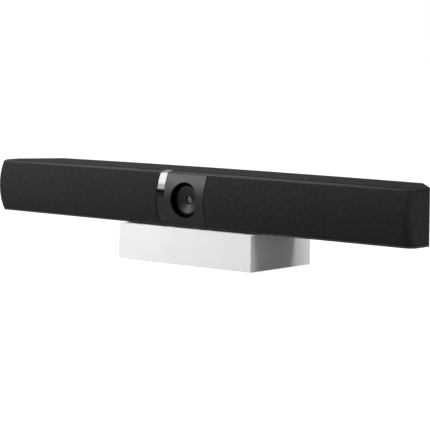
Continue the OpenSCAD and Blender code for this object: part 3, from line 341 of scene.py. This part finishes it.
def two_zoned_with_painted_shade(name, radius, inside, outside, level, depth):
    """A black moulding with one colour and roughness inside this radius round the lens axis and
    another outside it; the darker of the two colours is painted shade. The gloss varies a little, as
    the flow in the mould leaves it, over a fine skin of this depth in millimetres."""
    inside_colour, inside_roughness = inside
    outside_colour, outside_roughness = outside
    material, tree, shader = blank(name)
    low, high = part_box("lens_ring")
    place = add(tree, "ShaderNodeTexCoord").outputs["Object"]
    from_axis = add(tree, "ShaderNodeVectorMath", {0: place, 1: tuple((low + high) / 2)},
                    operation="SUBTRACT")
    flat = add(tree, "ShaderNodeVectorMath", {0: from_axis.outputs["Vector"], 1: (1.0, 0.0, 1.0)},
               operation="MULTIPLY")
    away = add(tree, "ShaderNodeVectorMath", {0: flat.outputs["Vector"]}, operation="LENGTH")
    zone = add(tree, "ShaderNodeMapRange",
               {"Value": away.outputs["Value"], "From Min": radius - ZONE_BLEND,
                "From Max": radius + ZONE_BLEND}).outputs["Result"]
    clouds = add(tree, "ShaderNodeTexNoise",
                 {"Vector": place, "Scale": per_mm(CLOUD_WIDTH), "Detail": 2.0})
    skin = add(tree, "ShaderNodeTexNoise", {"Vector": place, "Scale": per_mm(0.5), "Detail": 3.0})
    colour = add(tree, "ShaderNodeValToRGB", {"Fac": zone},
                 [(0.0, inside_colour), (1.0, outside_colour)])
    smooth = add(tree, "ShaderNodeMapRange",
                 {"Value": zone, "To Min": inside_roughness, "To Max": outside_roughness})
    uneven = add(tree, "ShaderNodeMapRange",
                 {"Value": clouds.outputs["Fac"], "To Min": -GLOSS_SPREAD, "To Max": GLOSS_SPREAD})
    gloss = add(tree, "ShaderNodeMath",
                {0: smooth.outputs["Result"], 1: uneven.outputs["Result"]}, operation="ADD")
    bump = add(tree, "ShaderNodeBump",
               {"Height": skin.outputs["Fac"], "Strength": SKIN_STRENGTH, "Distance": depth * MM})
    wire(tree, shader, {"Base Color": colour.outputs["Color"], "Roughness": gloss.outputs["Value"],
                        "Specular IOR Level": level, "Normal": bump.outputs["Normal"]})
    return material


def satin_fascia():
    """Polycarbonate, moulded and lacquered satin black, which spreads the lamps into a soft slope of
    light. The edge of its round hole is matt and painted darker: painted shade of the gap round the
    recess, which reads as a thin dark line."""
    # The inside colour, #010101 and matt, is painted shade round the recess
    return two_zoned_with_painted_shade("polycarbonate, lacquered satin black", RECESS_PAINTED_SHADE_EDGE,
                     ("#010101", 0.85), ("#0e0e0e", 0.44), 0.16, 0.004)


def satin_eyeball():
    """ABS, moulded, satin black inside the funnel, so that its lower side catches the light from
    above. Past its rim it is matt and painted darker, as painted shade of the gap round its mouth,
    which reads as a dark line."""
    # The outside colour, #010101 and matt, is painted shade round the eyeball's mouth
    return two_zoned_with_painted_shade("ABS, moulded, satin black, matt past the rim", EYEBALL_RIM,
                     ("#09090a", 0.5), ("#010101", 0.9), 0.22, 0.006)


def coated_optical_glass():
    """Optical glass, polished and coated: clear and almost without colour, and its thin film keeps
    the lamps' reflections in it small and faintly tinted."""
    material, tree, shader = blank("optical glass, polished and coated")
    place = add(tree, "ShaderNodeTexCoord").outputs["Object"]
    bloom = add(tree, "ShaderNodeTexNoise", {"Vector": place, "Scale": per_mm(5), "Detail": 1.0})
    colour = add(tree, "ShaderNodeValToRGB", {"Fac": bloom.outputs["Fac"]},
                 [(0.3, "#9aa8a0"), (0.7, "#b2bdb6")])
    wire(tree, shader, {"Base Color": colour.outputs["Color"], "Roughness": 0.02, "IOR": 1.62,
                        "Transmission Weight": 0.85, "Thin Film Thickness": 110.0,
                        "Thin Film IOR": 1.38})
    return material


def circuit_laminate():
    """Glass-fibre laminate under green solder mask: the copper tracks below it show as slightly
    lighter lines, and the mask gives a smooth low gloss."""
    material, tree, shader = blank("glass-fibre laminate, green solder mask")
    place = add(tree, "ShaderNodeTexCoord").outputs["Object"]
    tracks = add(tree, "ShaderNodeTexBrick",
                 {"Vector": place, "Scale": per_mm(12), "Mortar Size": 0.03,
                  "Color1": linear("#14512c"), "Color2": linear("#17582f"),
                  "Mortar": linear("#2b7a48")})
    weave = add(tree, "ShaderNodeTexNoise", {"Vector": place, "Scale": per_mm(2.2), "Detail": 3.0})
    mixed = add(tree, "ShaderNodeMix",
                {0: weave.outputs["Fac"], 6: tracks.outputs["Color"], 7: linear("#0f4525")},
                data_type="RGBA")
    bump = add(tree, "ShaderNodeBump",
               {"Height": tracks.outputs["Fac"], "Strength": 0.2, "Distance": 0.03 * MM})
    wire(tree, shader, {"Base Color": mixed.outputs[2], "Normal": bump.outputs["Normal"],
                        "Roughness": 0.3})
    return material


def wound_copper():
    """Copper wire, enamelled and close wound: fine turns side by side, warm and glossy, each painted
    lighter on its crown and darker in the groove beside it, as painted highlight and shade.
    """
    material, tree, shader = blank("copper wire, enamelled and wound")
    place = add(tree, "ShaderNodeTexCoord").outputs["Object"]
    turns = add(tree, "ShaderNodeTexWave", {"Vector": place, "Scale": bands_per_mm(0.35)},
                wave_type="BANDS", bands_direction="Y")
    # Lighter on each turn's crown and darker in the grooves between turns: painted highlight and
    # painted shade
    colour = add(tree, "ShaderNodeValToRGB", {"Fac": turns.outputs["Fac"]},
                 [(0.2, "#7a3c18"), (0.8, "#c8743a")])
    bump = add(tree, "ShaderNodeBump",
               {"Height": turns.outputs["Fac"], "Strength": 0.6, "Distance": 0.1 * MM})
    wire(tree, shader, {"Base Color": colour.outputs["Color"], "Normal": bump.outputs["Normal"],
                        "Metallic": 1.0, "Roughness": 0.3})
    return material


def finish_table():
    """Which material each CAD piece wears."""
    tray = moulded("ABS, moulded, black matt", "#121213", "#181819", 0.55, 0.5, 0.012,
                   Specular_IOR_Level=0.35)
    trap = moulded("ABS, moulded light trap, matt black", "#010101", "#020202", 0.85, 0.3, 0.01,
                   Specular_IOR_Level=0.02)
    barrel = bare_metal("aluminium, turned and black anodised", "#0a0a0b", "#151516", 0.35, 0.5,
                        (1.0, 6.0, 1.0))
    inner = moulded("ABS, moulded, inner black", "#1b1b1d", "#232325", 0.55)
    carrier = moulded("ABS, moulded grille carrier", "#0b0b0c", "#121213", 0.6)
    zinc = bare_metal("steel, zinc plated", "#8d9194", "#b4b8bb", 0.34, 2.5)
    tin = bare_metal("steel sheet, tinned", "#9c9fa1", "#bfc2c4", 0.3, 1.2, (0.2, 1.0, 1.0))
    brass = bare_metal("brass, turned", "#9c7a35", "#c9a556", 0.28, 0.8, (1.0, 6.0, 1.0))
    extruded = bare_metal("aluminium, extruded", "#9a9da0", "#bcbfc2", 0.38, 0.5, (1.0, 0.05, 1.0))
    blackened = bare_metal("steel, blackened", "#1b1b1c", "#303032", 0.42, 1.5)
    pressed = moulded("steel, pressed and painted black", "#1a1a1b", "#222223", 0.45, 0.8)
    rubber = moulded("rubber, moulded, black", "#0e0e0f", "#151516", 0.78, 0.5, 0.03)
    foam = moulded("foam, closed cell, black", "#131313", "#1e1e1e", 0.92, 0.9, 0.2)
    paper = moulded("paper, pressed and coated", "#26231f", "#35312c", 0.85, 0.7, 0.1)
    epoxy = moulded("epoxy, moulded chip package", "#1a1a1c", "#222224", 0.5, 0.25)
    acetal = moulded("acetal, punched, natural", "#dcdad2", "#e8e6de", 0.4, 0.6)
    putty = moulded("silicone pad, soft, blue grey", "#6f8496", "#8296a8", 0.8, 0.8, 0.05)
    grey = moulded("steel, powder coated, grey", "#4b4e51", "#56595c", 0.55, 1.0, 0.03)
    gold = bare_metal("brass can, gold plated", "#a98236", "#d2ab58", 0.25, 1.5)
    sleeve = bare_metal("aluminium can, sleeved", "#5a5f68", "#7a8089", 0.35, 1.0, (1.0, 1.0, 4.0))
    magnet = bare_metal("steel magnet pot, plated", "#6e7073", "#8f9295", 0.32, 3.0)
    sensor = moulded("image sensor under glass", "#191c2e", "#232743", 0.12, 0.2, 0.002)
    light_grey = moulded("ABS, moulded, light grey", "#b9b9b5", "#c6c6c2", 0.4, 0.5)
    nylon = moulded("nylon, moulded, black", "#131314", "#1a1a1b", 0.48)
    board = circuit_laminate()
    glass = coated_optical_glass()
    wire_turns = wound_copper()
    return {
        "bottom_tray": tray, "rear_cover": tray, "top_cover": moulded_cover(), "front_baffle": inner,
        "speaker_partitions": inner, "left_grille_frame": carrier, "right_grille_frame": carrier,
        "camera_fascia": satin_fascia(), "accent_strip": polished_black_strip(), "lens_ring": trap,
        "camera_bracket": zinc, "tilt_washers": acetal, "camera_screws": zinc,
        "pod_shell": satin_eyeball(), "lens_barrel": barrel, "front_lens": glass,
        "rear_lens": glass, "sensor_board": board, "sensor_chip": sensor,
        "left_speaker_basket": pressed, "right_speaker_basket": pressed,
        "left_magnet": magnet, "right_magnet": magnet, "left_surround": rubber,
        "right_surround": rubber, "left_cone": paper, "right_cone": paper,
        "left_voice_coil": wire_turns, "right_voice_coil": wire_turns, "speaker_gaskets": foam,
        "speaker_screws": zinc, "microphone_boards": board, "microphone_capsules": gold,
        "microphone_boots": rubber, "main_board": board, "board_chips": epoxy,
        "board_capacitors": sleeve, "processor_shield": tin, "thermal_pad": putty,
        "heat_sink": extruded, "board_screws": zinc, "antenna_boards": board, "io_panel": inner,
        "network_socket": tin, "usb_socket": tin, "display_socket": tin, "power_socket": nylon,
        "reset_button": light_grey, "reset_switch": epoxy, "rear_inserts": brass,
        "bottom_inserts": brass, "housing_screws": blackened, "bar_pads": rubber,
        "stand_shell": powder_coated_white(), "stand_base_plate": grey, "stand_feet": rubber,
        "stand_screws": zinc, "stand_base_screws": zinc,
    }


def dress(obj, material):
    """Puts one material in all of an object's slots."""
    if not obj.material_slots:
        obj.data.materials.append(material)
    for entry in obj.material_slots:
        entry.material = material


# Settings that a user would change
class ConferenceCameraClothSettings(bpy.types.PropertyGroup):
    thickness: bpy.props.FloatProperty(
        name="Cloth thickness", description="Thickness of the stretched grille cloth",
        default=0.8 * MM, min=0.4 * MM, max=1.2 * MM, unit="LENGTH", precision=5)
    edge_roll: bpy.props.FloatProperty(
        name="Edge roll", description="Radius with which the cloth turns in at its edges",
        default=0.6 * MM, min=0.3 * MM, max=1.0 * MM, unit="LENGTH", precision=5)
    cell: bpy.props.FloatProperty(
        name="Mesh cell", description="Distance between the cloth's mesh lines",
        default=2.5 * MM, min=1.5 * MM, max=6.0 * MM, unit="LENGTH", precision=5)


class ConferenceCameraEdgeSettings(bpy.types.PropertyGroup):
    stand_round: bpy.props.FloatProperty(
        name="Stand edge", description="Rounding of the stand's coated edges",
        default=0.5 * MM, min=0.1 * MM, max=1.0 * MM, unit="LENGTH", precision=5)
    strip_round: bpy.props.FloatProperty(
        name="Strip edge", description="Rounding of the polished strip's edges",
        default=0.4 * MM, min=0.1 * MM, max=0.5 * MM, unit="LENGTH", precision=5)
    housing_round: bpy.props.FloatProperty(
        name="Housing edge", description="Rounding of the moulded edges of the covers and panels",
        default=0.25 * MM, min=0.1 * MM, max=0.5 * MM, unit="LENGTH", precision=5)


class ConferenceCameraStageSettings(bpy.types.PropertyGroup):
    azimuth: bpy.props.FloatProperty(
        name="Azimuth", description="Camera's turn round the bar, from straight ahead",
        default=math.radians(41.113), subtype="ANGLE")
    elevation: bpy.props.FloatProperty(
        name="Elevation", description="Camera's height angle above the table",
        default=math.radians(5.659), subtype="ANGLE")
    roll: bpy.props.FloatProperty(
        name="Roll", description="Camera's turn about its own line of sight",
        default=math.radians(0.272), subtype="ANGLE")
    distance: bpy.props.FloatProperty(
        name="Distance", description="Camera's distance from its aim point",
        default=2.2545, unit="LENGTH")
    aim: bpy.props.FloatVectorProperty(
        name="Aim point", description="Point that the camera looks at",
        default=(0.02497, -0.02605, 0.05992), subtype="XYZ", unit="LENGTH")
    focal_length: bpy.props.FloatProperty(
        name="Focal length", description="Camera's focal length in millimetres",
        default=159.11, min=20.0, max=300.0)
    floor_colour: bpy.props.FloatVectorProperty(
        name="Floor colour", description="Colour of the pale floor",
        default=linear("#898989")[:3], subtype="COLOR", min=0.0, max=1.0)
    backdrop_glow: bpy.props.FloatProperty(
        name="Backdrop glow", description="How bright the floor looks to the camera by itself",
        default=0.95, min=0.0, max=1.0, subtype="FACTOR")
    fill: bpy.props.FloatProperty(
        name="Fill light", description="Strength of the even light from all round",
        default=0.31, min=0.0, max=1.0, subtype="FACTOR")


# Grille cloth
def crown_drop(x):
    """How far the top of the bar lies below its middle, at this distance along it."""
    return TOP_CROWN * (x / HALF_LENGTH) ** 2


def face_y(radius, z):
    """Depth of the bowed front at a height, for a cylinder of this radius about the same axis."""
    up = z - BAR_BASE_Z - FACE_MIDDLE
    return FACE_AXIS_Y - math.sqrt(max(radius ** 2 - up ** 2, 0.0))


def edge_turn(roll):
    """Distance from the edge and depth of the points along an edge that turns in."""
    angles = [math.pi / 2 * k / TURN_STEPS for k in range(TURN_STEPS + 1)]
    return [(roll * (1 - math.cos(angle)), roll * (1 - math.sin(angle))) for angle in angles]


def cloth_columns(inner_x, settings):
    """Lines along the bar: the turned-in edge, the straight front, the rounded corner, the end face
    and the tuck behind its rear edge."""
    roll = settings.edge_roll
    run = HALF_LENGTH - CORNER_RADIUS - inner_x - roll
    steps = round(run / settings.cell)
    columns = [("front", inner_x + away, depth) for away, depth in edge_turn(roll)]
    columns += [("front", inner_x + roll + run * k / steps, 0.0) for k in range(1, steps + 1)]
    columns += [("corner", math.pi / 2 * k / CORNER_STEPS, 0.0)
                for k in range(1, CORNER_STEPS + 1)]
    columns += [("end", k / END_STEPS, 0.0) for k in range(1, END_STEPS + 1)]
    columns += [("tuck", math.pi / 2 * k / TURN_STEPS, 0.0) for k in range(1, TURN_STEPS + 1)]
    return columns


def cloth_rows(height, settings):
    """Lines up the bar: the turned-in lower edge, the face and the turned-in upper edge."""
    roll = settings.edge_roll
    steps = round(height / settings.cell)
    lower = edge_turn(roll)
    middle = [(roll + (height - 2 * roll) * k / steps, 0.0) for k in range(1, steps)]
    upper = [(height - away, depth) for away, depth in reversed(lower)]
    return lower + middle + upper


def cloth_place(column, row, base_z, height, rear_y, roll):
    """Where a crossing of the cloth's lines lies, for the right-hand cloth."""
    kind, along, depth = column
    rise, fold = row
    x = along if kind == "front" else HALF_LENGTH
    z = base_z + rise - crown_drop(x) * rise / height
    if kind == "front":
        inset = min(roll, depth + fold)
        return Vector((x, face_y(FACE_RADIUS - inset, z), z))
    if kind == "corner":
        radius = CORNER_RADIUS - fold
        return Vector((HALF_LENGTH - CORNER_RADIUS + radius * math.sin(along),
                       face_y(FACE_RADIUS - CORNER_RADIUS + radius * math.cos(along), z), z))
    start = face_y(FACE_RADIUS - CORNER_RADIUS, z)
    if kind == "end":
        return Vector((HALF_LENGTH - fold, start + (rear_y - roll - start) * along, z))
    inset = max(fold, roll * (1 - math.cos(along)))
    return Vector((HALF_LENGTH - inset, rear_y - roll + roll * math.sin(along), z))


def running_lengths(points):
    """Length from the first point to each of the points."""
    lengths = [0.0]
    for last, here in zip(points, points[1:]):
        lengths.append(lengths[-1] + (here - last).length)
    return lengths


def build_cloth(name, node, side, settings):
    """One grille cloth, from a flat grid laid over the front and round the end of the bar."""
    low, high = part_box(node)
    inner_x = min(abs(low.x), abs(high.x))
    height = high.z - low.z
    columns = cloth_columns(inner_x, settings)
    rows = cloth_rows(height, settings)
    places = [[cloth_place(column, row, low.z, height, high.y, settings.edge_roll)
               for row in rows] for column in columns]
    across = running_lengths([line[len(rows) // 2] for line in places])
    up = running_lengths(places[len(columns) // 3])

    deselect_all()
    bpy.ops.mesh.primitive_grid_add(x_subdivisions=len(columns) - 1, y_subdivisions=len(rows) - 1,
                                    size=2.0, location=(0, 0, 0))
    cloth = bpy.context.active_object
    cloth.name = name
    mesh = cloth.data
    mesh.name = name
    crossings = [(round((vertex.co.x + 1) / 2 * (len(columns) - 1)),
                  round((vertex.co.y + 1) / 2 * (len(rows) - 1))) for vertex in mesh.vertices]
    layer = mesh.uv_layers.active or mesh.uv_layers.new()
    layer.name = "cloth"
    for loop in mesh.loops:
        column, row = crossings[loop.vertex_index]
        layer.data[loop.index].uv = (across[column], up[row])
    for vertex, (column, row) in zip(mesh.vertices, crossings):
        place = places[column][row]
        vertex.co = (side * place.x, place.y, place.z)
    mesh.update()

    make_active(cloth)
    bpy.ops.object.mode_set(mode="EDIT")
    bpy.ops.mesh.select_all(action="SELECT")
    bpy.ops.mesh.remove_doubles(threshold=CLOTH_WELD)
    # The mirrored grid faces backwards
    if side < 0:
        bpy.ops.mesh.flip_normals()
    bpy.ops.object.mode_set(mode="OBJECT")
    front = min(mesh.polygons, key=lambda face: face.center.y)
    if front.normal.y > 0:
        raise RuntimeError("the cloth faces backwards")
    wall = cloth.modifiers.new("thickness", "SOLIDIFY")
    wall.thickness = settings.thickness
    wall.offset = -1.0
    bpy.ops.object.modifier_apply(modifier="thickness")
    bpy.ops.object.shade_smooth()
    return cloth, across[-1], up[-1]


# Softened edges
def soften(node, name, width):
    """A copy of a CAD piece whose sharp edges get a small rounding, as a coat or a mould leaves."""
    piece = NODES[node].copy()
    piece.data = NODES[node].data.copy()
    piece.name = name
    piece.data.name = name
    bpy.context.scene.collection.objects.link(piece)
    make_active(piece)
    bpy.ops.object.mode_set(mode="EDIT")
    bpy.ops.mesh.select_all(action="SELECT")
    bpy.ops.mesh.remove_doubles(threshold=WELD)
    bpy.ops.mesh.dissolve_limited(angle_limit=FLAT_ANGLE)
    bpy.ops.object.mode_set(mode="OBJECT")
    bpy.ops.object.shade_smooth_by_angle(angle=SHADED_ANGLE)
    edge = piece.modifiers.new("edge", "BEVEL")
    edge.width = width
    edge.segments = BEVEL_STEPS
    edge.limit_method = "ANGLE"
    edge.angle_limit = BEVELLED_ANGLE
    edge.harden_normals = True
    bpy.ops.object.modifier_apply(modifier="edge")
    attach(piece, "bar")
    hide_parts(node)


class ConferenceCameraMaterials(bpy.types.Operator):
    """Makes the procedural materials and puts them on the CAD pieces that stay"""
    bl_idname = "conference_camera.materials"
    bl_label = "Finishes of the CAD pieces"

    def execute(self, context):
        for node, material in finish_table().items():
            dress(NODES[node], material)
        return {"FINISHED"}


class ConferenceCameraCloth(bpy.types.Operator):
    """Stretches the two grille cloths over the front and round the ends of the bar"""
    bl_idname = "conference_camera.cloth"
    bl_label = "Grille cloth"

    def execute(self, context):
        settings = context.scene.conference_camera_cloth
        material = knitted_polyester()
        for side_name, side in (("left", -1), ("right", 1)):
            node = side_name + "_grille_fabric"
            cloth, width, height = build_cloth(side_name + "_grille_cloth", node, side, settings)
            dress(cloth, material)
            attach(cloth, "bar")
            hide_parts(node)
        return {"FINISHED"}


class ConferenceCameraEdges(bpy.types.Operator):
    """Rounds the sharp edges of the stand, the polished strip, the covers and the panels"""
    bl_idname = "conference_camera.edges"
    bl_label = "Softened edges"

    def execute(self, context):
        settings = context.scene.conference_camera_edges
        soften("stand_shell", "stand_shell_coated", settings.stand_round)
        soften("accent_strip", "accent_strip_polished", settings.strip_round)
        for node in ("top_cover", "camera_fascia", "rear_cover", "io_panel"):
            soften(node, node + "_moulding", settings.housing_round)
        return {"FINISHED"}


# Studio
def floor_material(colour, glow):
    """Studio floor, pale matt paint. What the camera and reflections see of it is lifted towards
    white, and it keeps the shadow."""
    material, tree, shader = blank("studio floor, pale matt paint")
    place = add(tree, "ShaderNodeTexCoord").outputs["Object"]
    mottle = add(tree, "ShaderNodeTexNoise", {"Vector": place, "Scale": per_mm(400)})
    tone = add(tree, "ShaderNodeMapRange", {"Value": mottle.outputs["Fac"], "To Min": 0.97})
    paint = add(tree, "ShaderNodeVectorMath", {0: tuple(colour), "Scale": tone.outputs["Result"]},
                operation="SCALE")
    rays = add(tree, "ShaderNodeLightPath").outputs
    direct = add(tree, "ShaderNodeMath", {0: rays["Is Camera Ray"], 1: rays["Is Glossy Ray"]},
                 operation="MAXIMUM")
    seen = add(tree, "ShaderNodeMath", {0: direct.outputs["Value"], 1: rays["Is Transmission Ray"]},
               operation="MAXIMUM")
    lift = add(tree, "ShaderNodeMath", {0: seen.outputs["Value"], 1: glow}, operation="MULTIPLY")
    wire(tree, shader, {"Base Color": paint.outputs["Vector"], "Roughness": 0.9,
                        "Specular IOR Level": 0.0, "Emission Color": linear("#ffffff"),
                        "Emission Strength": lift.outputs["Value"]})
    return material


def studio_world(fill):
    """Plain fill light, a little stronger from the right. The camera sees white in its place, and
    metal and glass see white as far up as a backdrop would reach."""
    world = bpy.data.worlds.new("studio")
    world.use_nodes = True
    tree = world.node_tree
    direction = add(tree, "ShaderNodeTexCoord").outputs["Generated"]
    sides = add(tree, "ShaderNodeSeparateXYZ", {"Vector": direction}).outputs
    room = add(tree, "ShaderNodeMapRange",
               {"Value": sides["X"], "From Min": -0.9, "From Max": 0.9,
                "To Min": fill * FILL_LEFT, "To Max": fill * FILL_RIGHT})
    low = add(tree, "ShaderNodeMapRange",
              {"Value": sides["Z"], "From Min": BACKDROP_FADE[0], "From Max": BACKDROP_FADE[1],
               "To Min": 1.0, "To Max": 0.0})
    rays = add(tree, "ShaderNodeLightPath").outputs
    mirrored = add(tree, "ShaderNodeMath", {0: rays["Is Glossy Ray"], 1: rays["Is Transmission Ray"]},
                   operation="MAXIMUM")
    backdrop = add(tree, "ShaderNodeMath", {0: mirrored.outputs["Value"], 1: low.outputs["Result"]},
                   operation="MULTIPLY")
    white = add(tree, "ShaderNodeMath", {0: rays["Is Camera Ray"], 1: backdrop.outputs["Value"]},
                operation="MAXIMUM")
    level = add(tree, "ShaderNodeMapRange",
                {"Value": white.outputs["Value"], "To Min": room.outputs["Result"], "To Max": 1.0})
    wire(tree, tree.nodes["Background"],
         {"Color": linear("#ffffff"), "Strength": level.outputs["Result"]})
    return world


def soft_light(name, place, size, radiance):
    """A softbox that faces the object. Its power follows from its area and brightness."""
    light = bpy.data.lights.new(name, "AREA")
    light.shape = "RECTANGLE"
    light.size, light.size_y = size
    light.energy = radiance * math.pi * size[0] * size[1]
    lamp = bpy.data.objects.new(name, light)
    bpy.context.scene.collection.objects.link(lamp)
    lamp.location = place
    facing = Vector(LAMP_AIM) - Vector(place)
    lamp.rotation_euler = facing.to_track_quat("-Z", "Y").to_euler()


def photograph_camera(settings):
    """The camera, from its angles, its distance and the point that it looks at."""
    turn, rise = settings.azimuth, settings.elevation
    back = Vector((math.sin(turn) * math.cos(rise), -math.cos(turn) * math.cos(rise),
                   math.sin(rise)))
    data = bpy.data.cameras.new("camera")
    data.lens = settings.focal_length
    data.sensor_width = SENSOR_WIDTH
    camera = bpy.data.objects.new("camera", data)
    bpy.context.scene.collection.objects.link(camera)
    camera.location = Vector(settings.aim) + back * settings.distance
    level = (-back).to_track_quat("-Z", "Y")
    camera.rotation_euler = (level @ Quaternion((0.0, 0.0, 1.0), settings.roll)).to_euler()
    return camera


class ConferenceCameraStage(bpy.types.Operator):
    """Sets the pale floor, the studio light and the camera"""
    bl_idname = "conference_camera.stage"
    bl_label = "Floor, light and camera"

    def execute(self, context):
        settings = context.scene.conference_camera_stage
        deselect_all()
        bpy.ops.mesh.primitive_plane_add(size=FLOOR_SIZE, location=(0, 0, 0))
        floor = context.active_object
        floor.name = "studio_floor"
        dress(floor, floor_material(settings.floor_colour, settings.backdrop_glow))
        context.scene.world = studio_world(settings.fill)
        for name, (place, size, radiance) in LAMPS.items():
            soft_light(name, place, size, radiance)
        context.scene.camera = photograph_camera(settings)
        context.scene.view_settings.view_transform = "Standard"
        return {"FINISHED"}


class ConferenceCameraPanel(bpy.types.Panel):
    """Lists the steps and their settings"""
    bl_label = "Conference camera"
    bl_idname = "VIEW3D_PT_conference_camera"
    bl_space_type = "VIEW_3D"
    bl_region_type = "UI"
    bl_category = "Conference camera"

    def draw(self, context):
        layout = self.layout
        for operator in OPERATORS:
            layout.operator(operator.bl_idname)
        for name in SETTINGS:
            group = getattr(context.scene, name)
            box = layout.box()
            for setting in group.__annotations__:
                box.prop(group, setting)


SETTINGS = {
    "conference_camera_cloth": ConferenceCameraClothSettings,
    "conference_camera_edges": ConferenceCameraEdgeSettings,
    "conference_camera_stage": ConferenceCameraStageSettings,
}
OPERATORS = (ConferenceCameraMaterials, ConferenceCameraCloth, ConferenceCameraEdges,
             ConferenceCameraStage)
CLASSES = (*SETTINGS.values(), *OPERATORS, ConferenceCameraPanel)


def register():
    for item in CLASSES:
        bpy.utils.register_class(item)
    for name, group in SETTINGS.items():
        setattr(bpy.types.Scene, name, bpy.props.PointerProperty(type=group))


def unregister():
    for name in SETTINGS:
        delattr(bpy.types.Scene, name)
    for item in reversed(CLASSES):
        bpy.utils.unregister_class(item)


def main():
    register()
    bpy.ops.conference_camera.materials()
    bpy.ops.conference_camera.cloth()
    bpy.ops.conference_camera.edges()
    bpy.ops.conference_camera.stage()


if __name__ == "__main__":
    main()
